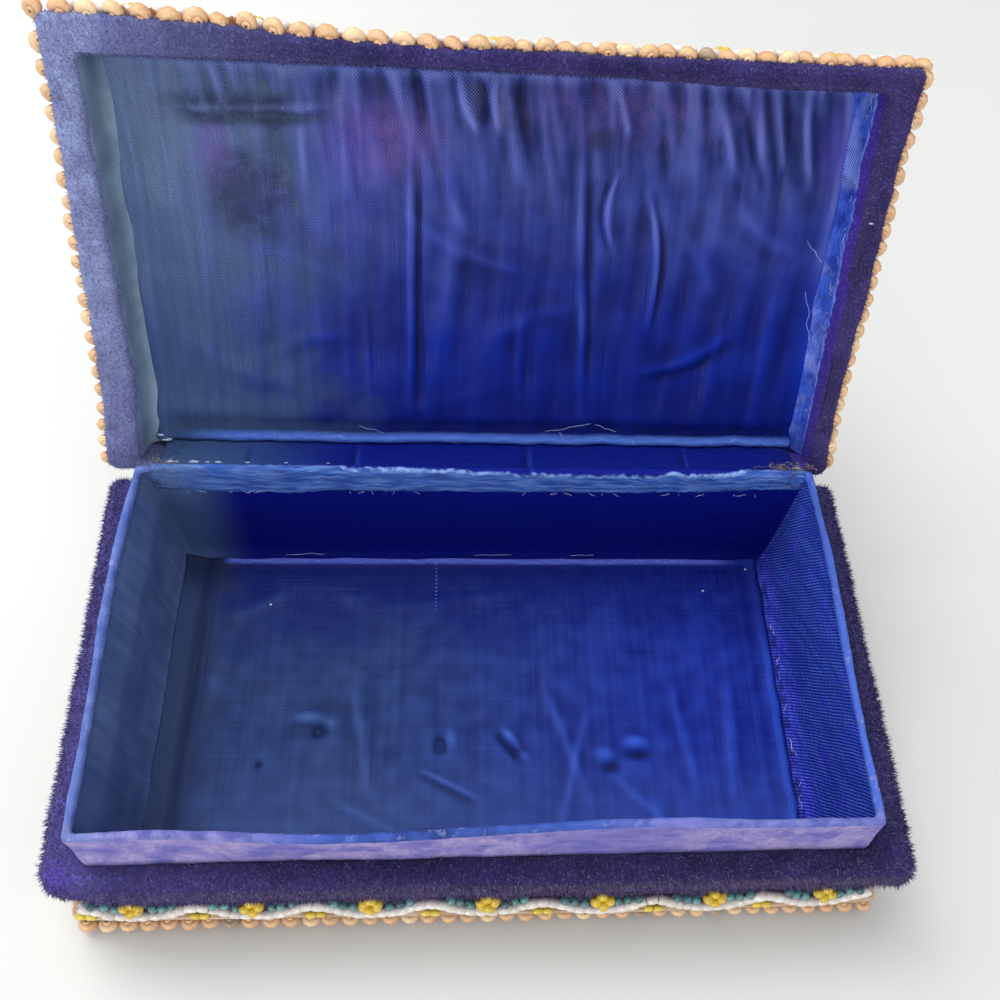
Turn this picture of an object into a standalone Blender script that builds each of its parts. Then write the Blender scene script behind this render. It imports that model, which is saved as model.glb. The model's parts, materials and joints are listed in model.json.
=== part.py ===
"""Velvet trinket box edged with small snail shells and seed beads.

A card box covered with velvet stands on a foot board. A satin-lined tray rises out of its
flange as a collar, and a shallow hinged lid with a lined recess closes over that collar.
Rows of snail shells run round the foot and round the lid's mouth, and strings of seed
beads wave along the walls between bead flowers. Metres, +Z up, +Y to the hinge side,
origin at the middle of the underside. The lid stands open at its stop.
"""
import math

import bmesh
import bpy
from mathutils import Matrix, Vector

# Clearance left between pieces that touch
GAP = 0.0003

# Walls of the base, drawn in under the soft lip of the flange
BASE_HALF_X = 0.0738
BASE_HALF_Y = 0.04085
FLANGE_Z = 0.0246
WALL_THICKNESS = 0.0022
LIP_HEIGHT = 0.0052
LIP_SLOPE_HEIGHT = 0.0030
LIP_OVERHANG_X = 0.0021
LIP_OVERHANG_Y = 0.0007
LIP_ROUNDING = 0.0016
WALL_CORNER = 0.0026

# Foot board, and the card ledge that stands proud of it all round
FOOT_HEIGHT = 0.0034
FOOT_HALF_X = 0.0712
FOOT_HALF_Y = 0.03945
LEDGE_THICKNESS = 0.0016
LEDGE_HALF_X = 0.0729
LEDGE_HALF_Y = 0.04195
LEDGE_WIDTH = 0.0036
LEDGE_CORNER = 0.0017

# Satin-lined tray: half width and front and back faces at its rim and at its bottom
TRAY_RIM_Z = FLANGE_Z + 0.0083
TRAY_WALL = 0.0014
TRAY_RIM_HALF_X = 0.0668
TRAY_RIM_FRONT = -0.0356
TRAY_RIM_BACK = 0.0376
TRAY_BOTTOM_HALF_X = 0.0642
TRAY_BOTTOM_FRONT = -0.0366
TRAY_BOTTOM_BACK = 0.0355
TRAY_CORNER = 0.0018
FLOOR_PAD_THICKNESS = 0.0012
FLOOR_PAD_MARGIN = 0.0012

# Lid as it lies when closed: outer faces, mouth, and the recess that clears the collar
HINGE_Y = 0.04135
HINGE_Z = FLANGE_Z + 0.0010
LID_OPEN_DEG = 114.0
LID_HALF_X = 0.0735
LID_FRONT = -0.0416
LID_BACK = 0.0405
LID_BRIM_HEIGHT = 0.0018
LID_BRIM_OVERHANG = 0.0014
LID_MOUTH_Z = FLANGE_Z + 0.0005
LID_HEIGHT = 0.0136
LID_CROWN = 0.0012
LID_CROWN_MARGIN = 0.0100
LID_EDGE_ROUNDING = 0.0014
LID_MOUTH_ROUNDING = 0.0007
RECESS_DEPTH = 0.0100
RECESS_HALF_X = 0.0682
RECESS_FRONT = -0.0372
RECESS_BACK = 0.0390
RECESS_TAPER = 0.0007
RECESS_CORNER = 0.0010
LINING_THICKNESS = 0.0011
LINING_MARGIN = 0.0010

# Cloth tape over the hinge
TAPE_THICKNESS = 0.0004
TAPE_HALF_X = 0.0640
TAPE_INSIDE_DROP = 0.0058
TAPE_LID_HEIGHT = 0.0060

# Snail shells, strung in rows; the rounding is their rod's bevel resolution
FOOT_SHELL_RADIUS = 0.00165
FOOT_SHELL_PITCH = 0.00365
LID_SHELL_RADIUS = 0.0016
LID_SHELL_PITCH = 0.0044
LID_SHELL_DEPTH = 0.0036
LID_ROW_INSET = 0.0030
SHELL_WAIST = 0.52
SHELL_ROUNDING = 1

# Seed beads, on strings that wave between flowers of four beads
BEAD_RADIUS = 0.00105
BEAD_LENGTH = 0.00215
SIDE_BEAD_LENGTH = 0.0027
LID_BEAD_LENGTH = 0.0038
BEAD_WAIST = 0.62
BEAD_ROUNDING = 0
WAVES_ON_FRONT = 7
WAVES_ON_SIDE = 4
WAVE_HEIGHT = 0.0052
WAVE_VALLEY_Z = 0.0069
WAVE_SHARPNESS = 1.3
FLOWER_LOBES = 4
FLOWER_RADIUS = 0.0023
FLOWER_FACE_RADIUS = 0.0016
FLOWER_NOTCH = 0.60
FLOWER_THICKNESS = 0.0017
FLOWER_Z = 0.0127
LID_WAVE_HEIGHT = 0.0026
LID_WAVE_DEPTH = 0.0087


def clear_scene():
    for old in list(bpy.data.objects):
        bpy.data.objects.remove(old, do_unlink=True)


def new_collection(name):
    collection = bpy.data.collections.new(name)
    bpy.context.scene.collection.children.link(collection)
    return collection


def material(name, colour, roughness, metallic=0.0):
    made = bpy.data.materials.new(name)
    made.use_nodes = True
    shader = made.node_tree.nodes["Principled BSDF"]
    shader.inputs["Base Color"].default_value = (*colour, 1.0)
    shader.inputs["Roughness"].default_value = roughness
    shader.inputs["Metallic"].default_value = metallic
    return made


def place(name, data, finish, parent=None):
    """An object from a mesh or curve, in the part's collection."""
    made = bpy.data.objects.new(name, data)
    PART.objects.link(made)
    data.materials.append(finish)
    made.parent = parent
    return made


def block(x_half, y_low, y_high, z_low, z_high, corner=0.0, segments=3):
    """A box primitive with its four upright edges rounded."""
    shape = bmesh.new()
    bmesh.ops.create_cube(shape, size=1.0)
    size = Matrix.Diagonal((2.0 * x_half, y_high - y_low, z_high - z_low, 1.0))
    middle = Vector((0.0, (y_low + y_high) / 2.0, (z_low + z_high) / 2.0))
    bmesh.ops.transform(shape, matrix=Matrix.Translation(middle) @ size, verts=shape.verts)
    if corner:
        upright = [e for e in shape.edges
                   if abs((e.verts[0].co - e.verts[1].co).z) > 1e-6]
        bmesh.ops.bevel(shape, geom=upright, offset=corner, segments=segments,
                        profile=0.5, affect="EDGES")
    return shape


def round_rim(shape, z, offset, segments=2):
    """Round the edges of the flat face at height z."""
    rim = [e for e in shape.edges
           if abs(e.verts[0].co.z - z) < 1e-6 and abs(e.verts[1].co.z - z) < 1e-6
           and any(abs(f.normal.z) < 0.5 for f in e.link_faces)]
    bmesh.ops.bevel(shape, geom=rim, offset=offset, segments=segments,
                    profile=0.5, affect="EDGES")


def slice_at(shape, z):
    parts = list(shape.verts) + list(shape.edges) + list(shape.faces)
    bmesh.ops.bisect_plane(shape, geom=parts, plane_co=(0.0, 0.0, z),
                           plane_no=(0.0, 0.0, 1.0))


def drop_face(shape, direction):
    """Open the shape by removing its flat face on one side."""
    shape.faces.ensure_lookup_table()
    ends = [f for f in shape.faces if f.normal.z * direction > 0.99]
    reach = max(f.calc_center_median().z * direction for f in ends)
    gone = [f for f in ends if abs(f.calc_center_median().z * direction - reach) < 1e-6]
    bmesh.ops.delete(shape, geom=gone, context="FACES")


def to_mesh(shape, name):
    bmesh.ops.recalc_face_normals(shape, faces=shape.faces)
    mesh = bpy.data.meshes.new(name)
    shape.to_mesh(mesh)
    shape.free()
    return mesh


def solidify(made, thickness):
    shell = made.modifiers.new("wall", "SOLIDIFY")
    shell.thickness = thickness
    shell.offset = -1.0
    shell.use_even_offset = True


def cut_out(made, shape, name, parent=None):
    """Cut a shape, given in the same coordinates as the piece, out of it."""
    cutter = bpy.data.objects.new(name, to_mesh(shape, name))
    CUTTERS.objects.link(cutter)
    cutter.hide_render = True
    cutter.display_type = "WIRE"
    cutter.parent = parent
    cut = made.modifiers.new("cut", "BOOLEAN")
    cut.operation = "DIFFERENCE"
    cut.solver = "EXACT"
    cut.object = cutter


def shade_round(mesh, degrees=35.0):
    mesh.shade_smooth()
    mesh.set_sharp_from_angle(angle=math.radians(degrees))


# Base ---------------------------------------------------------------------------------

LEDGE_TOP_Z = FOOT_HEIGHT + GAP + LEDGE_THICKNESS
WALL_BOTTOM_Z = LEDGE_TOP_Z + GAP
WALL_HALF_X = BASE_HALF_X - LIP_OVERHANG_X
WALL_HALF_Y = BASE_HALF_Y - LIP_OVERHANG_Y
TRAY_BOTTOM_Z = FOOT_HEIGHT + GAP


def make_foot_board():
    shape = block(FOOT_HALF_X, -FOOT_HALF_Y, FOOT_HALF_Y, 0.0, FOOT_HEIGHT, WALL_CORNER, 2)
    place("foot_board", to_mesh(shape, "foot_board"), BOARD)


def rounded_outline(x_half, y_half, radius, steps=3):
    """Corner points of a rounded rectangle, anticlockwise."""
    points = []
    for quarter, (sx, sy) in enumerate(((1, 1), (-1, 1), (-1, -1), (1, -1))):
        for step in range(steps + 1):
            turn = math.radians(90.0 * (quarter + step / steps))
            points.append((sx * (x_half - radius) + radius * math.cos(turn),
                           sy * (y_half - radius) + radius * math.sin(turn)))
    return points


def make_ledge():
    """A flat card frame, cut from one sheet with its middle out."""
    card = bpy.data.curves.new("card_ledge", "CURVE")
    card.dimensions = "2D"
    card.fill_mode = "BOTH"
    card.extrude = LEDGE_THICKNESS / 2.0
    outer = rounded_outline(LEDGE_HALF_X, LEDGE_HALF_Y, LEDGE_CORNER)
    inner = rounded_outline(LEDGE_HALF_X - LEDGE_WIDTH, LEDGE_HALF_Y - LEDGE_WIDTH,
                            LEDGE_CORNER, 1)
    for outline in (outer, inner):
        spline = card.splines.new("POLY")
        spline.points.add(len(outline) - 1)
        for point, (x, y) in zip(spline.points, outline):
            point.co = (x, y, 0.0, 1.0)
        spline.use_cyclic_u = True
    ledge = place("card_ledge", card, CARD)
    ledge.location.z = LEDGE_TOP_Z - LEDGE_THICKNESS / 2.0


def tray_outline_at(z):
    """Half width, front and back of the tray's outside at a height."""
    share = (z - TRAY_BOTTOM_Z) / (TRAY_RIM_Z - TRAY_BOTTOM_Z)
    half_x = TRAY_BOTTOM_HALF_X + share * (TRAY_RIM_HALF_X - TRAY_BOTTOM_HALF_X)
    front = TRAY_BOTTOM_FRONT + share * (TRAY_RIM_FRONT - TRAY_BOTTOM_FRONT)
    back = TRAY_BOTTOM_BACK + share * (TRAY_RIM_BACK - TRAY_BOTTOM_BACK)
    return half_x, front, back


def make_base_walls():
    """Open-bottomed cover: walls drawn in under a soft lip, and the flange on top."""
    shape = block(BASE_HALF_X, -BASE_HALF_Y, BASE_HALF_Y, WALL_BOTTOM_Z, FLANGE_Z,
                  WALL_CORNER)
    lip_bottom = FLANGE_Z - LIP_HEIGHT
    slice_at(shape, lip_bottom)
    slice_at(shape, lip_bottom - LIP_SLOPE_HEIGHT)
    for vert in shape.verts:
        if vert.co.z < lip_bottom - GAP:
            vert.co.x -= math.copysign(LIP_OVERHANG_X, vert.co.x)
            vert.co.y -= math.copysign(LIP_OVERHANG_Y, vert.co.y)
    round_rim(shape, FLANGE_Z, LIP_ROUNDING)
    mesh = to_mesh(shape, "base_walls")
    shade_round(mesh)
    walls = place("base_walls", mesh, VELVET)
    inner_x = WALL_HALF_X - WALL_THICKNESS
    inner_y = WALL_HALF_Y - WALL_THICKNESS
    inside = block(inner_x, -inner_y, inner_y, WALL_BOTTOM_Z - WALL_THICKNESS,
                   FLANGE_Z - WALL_THICKNESS)
    cut_out(walls, inside, "walls_inside")
    half_x, front, back = tray_outline_at(FLANGE_Z)
    opening = block(half_x + GAP, front - GAP, back + GAP, FLANGE_Z - 2.0 * WALL_THICKNESS,
                    FLANGE_Z + WALL_THICKNESS, TRAY_CORNER)
    cut_out(walls, opening, "tray_opening")


def make_tray():
    """Tapered open box of covered card, standing on the foot board."""
    shape = block(1.0, -1.0, 1.0, TRAY_BOTTOM_Z, TRAY_RIM_Z)
    for vert in shape.verts:
        half_x, front, back = tray_outline_at(vert.co.z)
        vert.co.x *= half_x
        vert.co.y = front if vert.co.y < 0.0 else back
    upright = [e for e in shape.edges if abs((e.verts[0].co - e.verts[1].co).z) > 1e-6]
    bmesh.ops.bevel(shape, geom=upright, offset=TRAY_CORNER, segments=3, profile=0.5,
                    affect="EDGES")
    drop_face(shape, 1)
    mesh = to_mesh(shape, "tray")
    shade_round(mesh)
    tray = place("tray", mesh, SATIN)
    solidify(tray, TRAY_WALL)


def make_floor_pad():
    low = TRAY_BOTTOM_Z + TRAY_WALL + GAP
    half_x, front, back = tray_outline_at(low)
    inset = TRAY_WALL + FLOOR_PAD_MARGIN
    shape = block(half_x - inset, front + inset, back - inset, low,
                  low + FLOOR_PAD_THICKNESS, RECESS_CORNER, 2)
    place("tray_floor_pad", to_mesh(shape, "tray_floor_pad"), SATIN)


# Rows of shells and strings of beads ----------------------------------------------------

LID_WALL_HALF_X = LID_HALF_X - LID_BRIM_OVERHANG
LID_WALL_FRONT = LID_FRONT + LID_BRIM_OVERHANG


def string_along(name, path, radius, pitch, waist, finish, resolution, parent=None):
    """A string of beads as one swelling rod: each bead has a belly between two waists.

    path lists closely spaced points; the beads are spread evenly over its length.
    """
    points = [Vector(p) for p in path]
    reach = [0.0]
    for before, after in zip(points, points[1:]):
        reach.append(reach[-1] + (after - before).length)
    count = max(1, round(reach[-1] / pitch))
    rod = bpy.data.curves.new(name, "CURVE")
    rod.dimensions = "3D"
    rod.bevel_depth = radius
    rod.bevel_resolution = resolution
    rod.use_fill_caps = True
    spline = rod.splines.new("POLY")
    spline.points.add(2 * count)
    seat = 0
    for index, point in enumerate(spline.points):
        wanted = reach[-1] * index / (2.0 * count)
        while seat < len(reach) - 2 and reach[seat + 1] < wanted:
            seat += 1
        share = (wanted - reach[seat]) / (reach[seat + 1] - reach[seat])
        spot = points[seat].lerp(points[seat + 1], min(1.0, max(0.0, share)))
        if parent is not None:
            spot -= Vector((0.0, HINGE_Y, HINGE_Z))
        point.co = (*spot, 1.0)
        point.radius = 1.0 if index % 2 else waist
    return place(name, rod, finish, parent)


def make_foot_shells():
    z = FOOT_HEIGHT - FOOT_SHELL_RADIUS
    out_x = FOOT_HALF_X + GAP + FOOT_SHELL_RADIUS
    out_y = FOOT_HALF_Y + GAP + FOOT_SHELL_RADIUS
    long_end = FOOT_HALF_X
    short_end = out_y - 2.0 * FOOT_SHELL_RADIUS - GAP
    rows = {"front": ((-long_end, -out_y), (long_end, -out_y)),
            "back": ((-long_end, out_y), (long_end, out_y)),
            "left": ((-out_x, -short_end), (-out_x, short_end)),
            "right": ((out_x, -short_end), (out_x, short_end))}
    for side, ends in rows.items():
        string_along(f"foot_shells_{side}", [(x, y, z) for x, y in ends],
                     FOOT_SHELL_RADIUS, FOOT_SHELL_PITCH, SHELL_WAIST, SHELL, SHELL_ROUNDING)


def make_lid_shells(hinge):
    """Rows on the three free sides of the lid, just above its brim."""
    z = LID_MOUTH_Z + LID_SHELL_DEPTH
    out_x = LID_WALL_HALF_X + GAP + LID_SHELL_RADIUS
    out_y = LID_WALL_FRONT - GAP - LID_SHELL_RADIUS
    near = out_y + 2.0 * LID_SHELL_RADIUS + GAP
    far = LID_BACK - LID_ROW_INSET
    rows = {"front": ((-out_x, out_y), (out_x, out_y)),
            "left": ((-out_x, near), (-out_x, far)),
            "right": ((out_x, near), (out_x, far))}
    for side, ends in rows.items():
        string_along(f"lid_shells_{side}", [(x, y, z) for x, y in ends],
                     LID_SHELL_RADIUS, LID_SHELL_PITCH, SHELL_WAIST, SHELL, SHELL_ROUNDING,
                     hinge)


def wave_height(share, waves, height):
    """Height above the valleys at a share of the wall's length; peaks at both ends."""
    lift = 0.5 + 0.5 * math.cos(2.0 * math.pi * waves * share)
    return height * lift ** WAVE_SHARPNESS


def wave_points(start, end, waves, height, steps_per_wave=16):
    """Points of a waving string between two valley points on one wall."""
    start = Vector(start)
    end = Vector(end)
    steps = waves * steps_per_wave
    points = []
    for step in range(steps + 1):
        share = step / steps
        spot = start.lerp(end, share)
        spot.z += wave_height(share, waves, height)
        points.append(spot)
    return points


def make_base_waves():
    z = WAVE_VALLEY_Z
    out_x = WALL_HALF_X + GAP + BEAD_RADIUS
    out_y = WALL_HALF_Y + GAP + BEAD_RADIUS
    end_x = WALL_HALF_X - BEAD_RADIUS
    end_y = WALL_HALF_Y - BEAD_RADIUS
    front = wave_points((-end_x, -out_y, z), (end_x, -out_y, z), WAVES_ON_FRONT,
                        WAVE_HEIGHT)
    string_along("bead_wave_front", front, BEAD_RADIUS, BEAD_LENGTH, BEAD_WAIST, WHITE,
                 BEAD_ROUNDING)
    for side, x in (("left", -out_x), ("right", out_x)):
        path = wave_points((x, -end_y, z), (x, end_y, z), WAVES_ON_SIDE, WAVE_HEIGHT)
        string_along(f"bead_wave_{side}", path, BEAD_RADIUS, SIDE_BEAD_LENGTH, BEAD_WAIST,
                     WHITE, BEAD_ROUNDING)


def make_lid_waves(hinge):
    z = LID_MOUTH_Z + LID_WAVE_DEPTH
    out_x = LID_WALL_HALF_X + GAP + BEAD_RADIUS
    out_y = LID_WALL_FRONT - GAP - BEAD_RADIUS
    end_x = LID_WALL_HALF_X - BEAD_RADIUS
    near = LID_WALL_FRONT + BEAD_RADIUS
    far = LID_BACK - LID_ROW_INSET
    front = wave_points((-end_x, out_y, z), (end_x, out_y, z), WAVES_ON_FRONT,
                        LID_WAVE_HEIGHT)
    string_along("lid_bead_wave_front", front, BEAD_RADIUS, LID_BEAD_LENGTH, BEAD_WAIST,
                 WHITE, BEAD_ROUNDING, hinge)
    for side, x in (("left", -out_x), ("right", out_x)):
        path = wave_points((x, near, z), (x, far, z), WAVES_ON_SIDE, LID_WAVE_HEIGHT)
        string_along(f"lid_bead_wave_{side}", path, BEAD_RADIUS, LID_BEAD_LENGTH,
                     BEAD_WAIST, WHITE, BEAD_ROUNDING, hinge)


def flower_mesh():
    """Four beads round a middle, as one low rosette with four blunt lobes."""
    shape = bmesh.new()
    bmesh.ops.create_cone(shape, cap_ends=True, segments=3 * FLOWER_LOBES,
                          radius1=FLOWER_RADIUS, radius2=FLOWER_FACE_RADIUS,
                          depth=FLOWER_THICKNESS)
    half_side = Matrix.Rotation(math.pi / (3 * FLOWER_LOBES), 4, "Z")
    bmesh.ops.transform(shape, matrix=half_side, verts=shape.verts)
    lobe = math.tau / FLOWER_LOBES
    for vert in shape.verts:
        turn = math.atan2(vert.co.y, vert.co.x) % lobe
        if abs(turn - lobe / 2.0) < lobe / 12.0:
            vert.co.x *= FLOWER_NOTCH
            vert.co.y *= FLOWER_NOTCH
    return to_mesh(shape, "flower")


def make_flowers():
    off = GAP + FLOWER_THICKNESS / 2.0
    mesh = flower_mesh()
    end_x = WALL_HALF_X - BEAD_RADIUS
    end_y = WALL_HALF_Y - BEAD_RADIUS
    sides = (("front", WAVES_ON_FRONT, end_x, 0.0),
             ("left", WAVES_ON_SIDE, end_y, -90.0),
             ("right", WAVES_ON_SIDE, end_y, 90.0))
    for side, count, end, swing in sides:
        for index in range(count):
            along = end * ((2.0 * index + 1.0) / count - 1.0)
            x, y = along, -(WALL_HALF_Y + off)
            if side != "front":
                x, y = math.copysign(WALL_HALF_X + off, swing), along
            flower = place(f"flower_{side}_{index + 1}", mesh.copy(), YELLOW)
            flower.location = (x, y, FLOWER_Z)
            flower.rotation_euler = (math.radians(90.0), 0.0, math.radians(swing))


# Lid and hinge --------------------------------------------------------------------------

def make_hinge():
    """The empty on the hinge axis that carries the lid, turned to the open stop."""
    hinge = bpy.data.objects.new("lid_hinge", None)
    PART.objects.link(hinge)
    hinge.location = (0.0, HINGE_Y, HINGE_Z)
    hinge.rotation_euler = (math.radians(-LID_OPEN_DEG), 0.0, 0.0)
    return hinge


def from_hinge(shape):
    bmesh.ops.translate(shape, vec=(0.0, -HINGE_Y, -HINGE_Z), verts=shape.verts)
    return shape


def raise_crown(shape):
    """Lift a flat panel out of the lid's top, its border sloping down to the edges."""
    panel = [f for f in shape.faces if f.normal.z > 0.99]
    bmesh.ops.inset_region(shape, faces=panel, thickness=GAP)
    for vert in {v for f in panel for v in f.verts}:
        vert.co.x -= math.copysign(LID_CROWN_MARGIN, vert.co.x)
        side = vert.co.y - (LID_FRONT + LID_BACK) / 2.0
        vert.co.y -= math.copysign(LID_CROWN_MARGIN, side)
        vert.co.z += LID_CROWN


def make_lid_shell(hinge):
    """Covered card lid: a crowned block over a brim, with a recess for the collar."""
    top = LID_MOUTH_Z + LID_HEIGHT
    brim_top = LID_MOUTH_Z + LID_BRIM_HEIGHT
    shape = block(LID_HALF_X, LID_FRONT, LID_BACK, LID_MOUTH_Z, top, WALL_CORNER)
    slice_at(shape, brim_top)
    slice_at(shape, brim_top + LID_BRIM_HEIGHT / 2.0)
    for vert in shape.verts:
        if vert.co.z > brim_top + GAP:
            vert.co.x -= math.copysign(LID_BRIM_OVERHANG, vert.co.x)
            if vert.co.y < 0.0:
                vert.co.y += LID_BRIM_OVERHANG
    round_rim(shape, top, LID_EDGE_ROUNDING)
    round_rim(shape, LID_MOUTH_Z, LID_MOUTH_ROUNDING, 1)
    raise_crown(shape)
    mesh = to_mesh(from_hinge(shape), "lid_shell")
    shade_round(mesh)
    lid = place("lid_shell", mesh, VELVET, hinge)
    recess = block(RECESS_HALF_X, RECESS_FRONT, RECESS_BACK, LID_MOUTH_Z - RECESS_DEPTH,
                   LID_MOUTH_Z + RECESS_DEPTH)
    for vert in recess.verts:
        if vert.co.z > LID_MOUTH_Z:
            vert.co.x -= math.copysign(RECESS_TAPER, vert.co.x)
            if vert.co.y < 0.0:
                vert.co.y += RECESS_TAPER
    cut_out(lid, from_hinge(recess), "lid_recess", hinge)


def make_lid_lining(hinge):
    """Covered panel on the floor of the recess."""
    floor = LID_MOUTH_Z + RECESS_DEPTH - GAP
    inset = RECESS_TAPER + LINING_MARGIN
    shape = block(RECESS_HALF_X - inset, RECESS_FRONT + inset, RECESS_BACK - LINING_MARGIN,
                  floor - LINING_THICKNESS, floor, RECESS_CORNER, 2)
    place("lid_lining", to_mesh(from_hinge(shape), "lid_lining"), SATIN, hinge)


def make_hinge_tape(hinge):
    """Tape glued over the tray's back rim, and its other edge inside the lid."""
    rim = TRAY_RIM_Z + GAP
    top = rim + TAPE_THICKNESS
    inside = TRAY_RIM_BACK - TRAY_WALL - GAP
    low = TRAY_RIM_Z - TAPE_INSIDE_DROP
    lean = (TRAY_RIM_BACK - TRAY_BOTTOM_BACK) / (TRAY_RIM_Z - TRAY_BOTTOM_Z)
    shift = lean * TAPE_INSIDE_DROP
    outline = ((TRAY_RIM_BACK, rim), (TRAY_RIM_BACK, top),
               (inside - TAPE_THICKNESS, top), (inside - TAPE_THICKNESS - shift, low),
               (inside - shift, low), (inside, rim))
    tape = bpy.data.curves.new("hinge_tape_base", "CURVE")
    tape.dimensions = "2D"
    tape.fill_mode = "BOTH"
    tape.extrude = TAPE_HALF_X
    spline = tape.splines.new("POLY")
    spline.points.add(len(outline) - 1)
    for point, (y, z) in zip(spline.points, outline):
        point.co = (y, z, 0.0, 1.0)
    spline.use_cyclic_u = True
    made = place("hinge_tape_base", tape, TAPE)
    made.rotation_euler = (math.radians(90.0), 0.0, math.radians(90.0))

    face = RECESS_BACK - GAP
    strip = block(TAPE_HALF_X, face - TAPE_THICKNESS, face, LID_MOUTH_Z,
                  LID_MOUTH_Z + TAPE_LID_HEIGHT)
    place("hinge_tape_lid", to_mesh(from_hinge(strip), "hinge_tape_lid"), TAPE, hinge)


clear_scene()
PART = new_collection("beaded_trinket_box")
CUTTERS = new_collection("cutters")
VELVET = material("velvet", (0.045, 0.035, 0.17), 0.95)
SATIN = material("satin", (0.03, 0.07, 0.42), 0.42)
TAPE = material("satin_tape", (0.16, 0.32, 0.80), 0.45)
CARD = material("card", (0.62, 0.42, 0.27), 0.85)
BOARD = material("board", (0.30, 0.24, 0.20), 0.90)
SHELL = material("snail_shell", (0.72, 0.46, 0.25), 0.45)
WHITE = material("white_bead", (0.82, 0.80, 0.76), 0.30)
YELLOW = material("yellow_bead", (0.78, 0.56, 0.08), 0.28)

make_foot_board()
make_ledge()
make_base_walls()
make_tray()
make_floor_pad()
make_foot_shells()
make_base_waves()
make_flowers()
LID_HINGE = make_hinge()
make_lid_shell(LID_HINGE)
make_lid_lining(LID_HINGE)
make_hinge_tape(LID_HINGE)
make_lid_shells(LID_HINGE)
make_lid_waves(LID_HINGE)
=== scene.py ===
"""Looks of the beaded trinket box: velvet over card, satin lining, snail shells and beads.

Shapes are worked out in millimetres and turned to metres when a mesh is made. The lid's
own shapes are made as it lies when closed, and are then swung open about the hinge.
"""
import json
import math

import bpy
import numpy as np
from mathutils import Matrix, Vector, noise


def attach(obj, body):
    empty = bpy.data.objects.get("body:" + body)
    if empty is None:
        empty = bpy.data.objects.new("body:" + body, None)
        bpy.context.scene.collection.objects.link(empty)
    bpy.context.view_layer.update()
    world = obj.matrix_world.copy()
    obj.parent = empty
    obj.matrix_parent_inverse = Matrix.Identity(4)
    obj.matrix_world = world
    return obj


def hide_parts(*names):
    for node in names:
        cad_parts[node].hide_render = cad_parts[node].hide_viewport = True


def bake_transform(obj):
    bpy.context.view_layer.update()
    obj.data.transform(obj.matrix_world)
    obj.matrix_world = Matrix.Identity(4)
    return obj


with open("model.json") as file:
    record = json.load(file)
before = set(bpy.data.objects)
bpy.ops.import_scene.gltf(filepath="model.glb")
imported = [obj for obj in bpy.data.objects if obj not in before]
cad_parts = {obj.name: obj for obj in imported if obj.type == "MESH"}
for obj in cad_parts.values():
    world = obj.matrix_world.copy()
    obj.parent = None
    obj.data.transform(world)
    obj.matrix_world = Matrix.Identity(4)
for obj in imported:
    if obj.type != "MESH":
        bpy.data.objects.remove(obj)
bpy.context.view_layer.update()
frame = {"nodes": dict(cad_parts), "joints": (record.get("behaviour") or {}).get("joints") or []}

NODES = frame["nodes"]
HINGE_JOINT = frame["joints"][0]
HINGE = np.array(HINGE_JOINT["pos_m"]) * 1000.0
OPEN_ANGLE = math.radians(HINGE_JOINT["range_deg"][1])
TO_METRES = 0.001


# Places from the frame ------------------------------------------------------------------

def swing(points, angle):
    """Turn points in millimetres about the hinge; a positive angle closes the lid."""
    out = np.array(points, float)
    y = out[..., 1] - HINGE[1]
    z = out[..., 2] - HINGE[2]
    out[..., 1] = HINGE[1] + y * math.cos(angle) - z * math.sin(angle)
    out[..., 2] = HINGE[2] + y * math.sin(angle) + z * math.cos(angle)
    return out


def opened(points):
    return swing(points, -OPEN_ANGLE)


def box_of(node, closed=False):
    """Lowest and highest corner of a CAD node in millimetres, with the lid shut if asked."""
    points = np.array([v.co for v in NODES[node].data.vertices]) * 1000.0
    if closed:
        points = swing(points, OPEN_ANGLE)
    return points.min(0), points.max(0)


WALLS_LOW, WALLS_HIGH = box_of("base_walls")
TRAY_LOW, TRAY_HIGH = box_of("tray")
PAD_HIGH = box_of("tray_floor_pad")[1]
LEDGE_LOW, LEDGE_HIGH = box_of("card_ledge")
FOOT_HIGH = box_of("foot_board")[1]
LID_LOW, LID_HIGH = box_of("lid_shell", closed=True)
LINING_Z = box_of("lid_lining", closed=True)[0][2]
LID_TAPE_HIGH = box_of("hinge_tape_lid", closed=True)[1]
FLANGE_Z = WALLS_HIGH[2]
RIM_Z = TRAY_HIGH[2]
MOUTH_Z = LID_LOW[2]


# Shader and geometry benches ------------------------------------------------------------

class Number:
    """A socket that carries a number; Python's operators add Math nodes to it."""

    def __init__(self, bench, socket):
        self.bench = bench
        self.socket = socket

    def math(self, operation, *others, clamp=False):
        settings = {"operation": operation, "use_clamp": clamp}
        inputs = dict(enumerate((self, *others)))
        return self.bench.number("ShaderNodeMath", settings, inputs)

    def __add__(self, other):
        return self.math("ADD", other)

    def __sub__(self, other):
        return self.math("SUBTRACT", other)

    def __mul__(self, other):
        return self.math("MULTIPLY", other)

    def __truediv__(self, other):
        return self.math("DIVIDE", other)

    def __pow__(self, other):
        return self.math("POWER", other)

    def __radd__(self, other):
        return self + other

    def __rmul__(self, other):
        return self * other

    def __rsub__(self, other):
        return (self * -1.0) + other

    def clamped(self):
        return self.math("ADD", 0.0, clamp=True)

    def cosine(self):
        return self.math("COSINE")

    def size(self):
        return self.math("ABSOLUTE")

    def ramp(self, low, high):
        """0 below low, 1 above high, smooth between; low may be above high."""
        settings = {"interpolation_type": "SMOOTHSTEP"}
        if low < high:
            inputs = {"Value": self, "From Min": low, "From Max": high}
            return self.bench.number("ShaderNodeMapRange", settings, inputs)
        return 1.0 - self.ramp(high, low)


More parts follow.
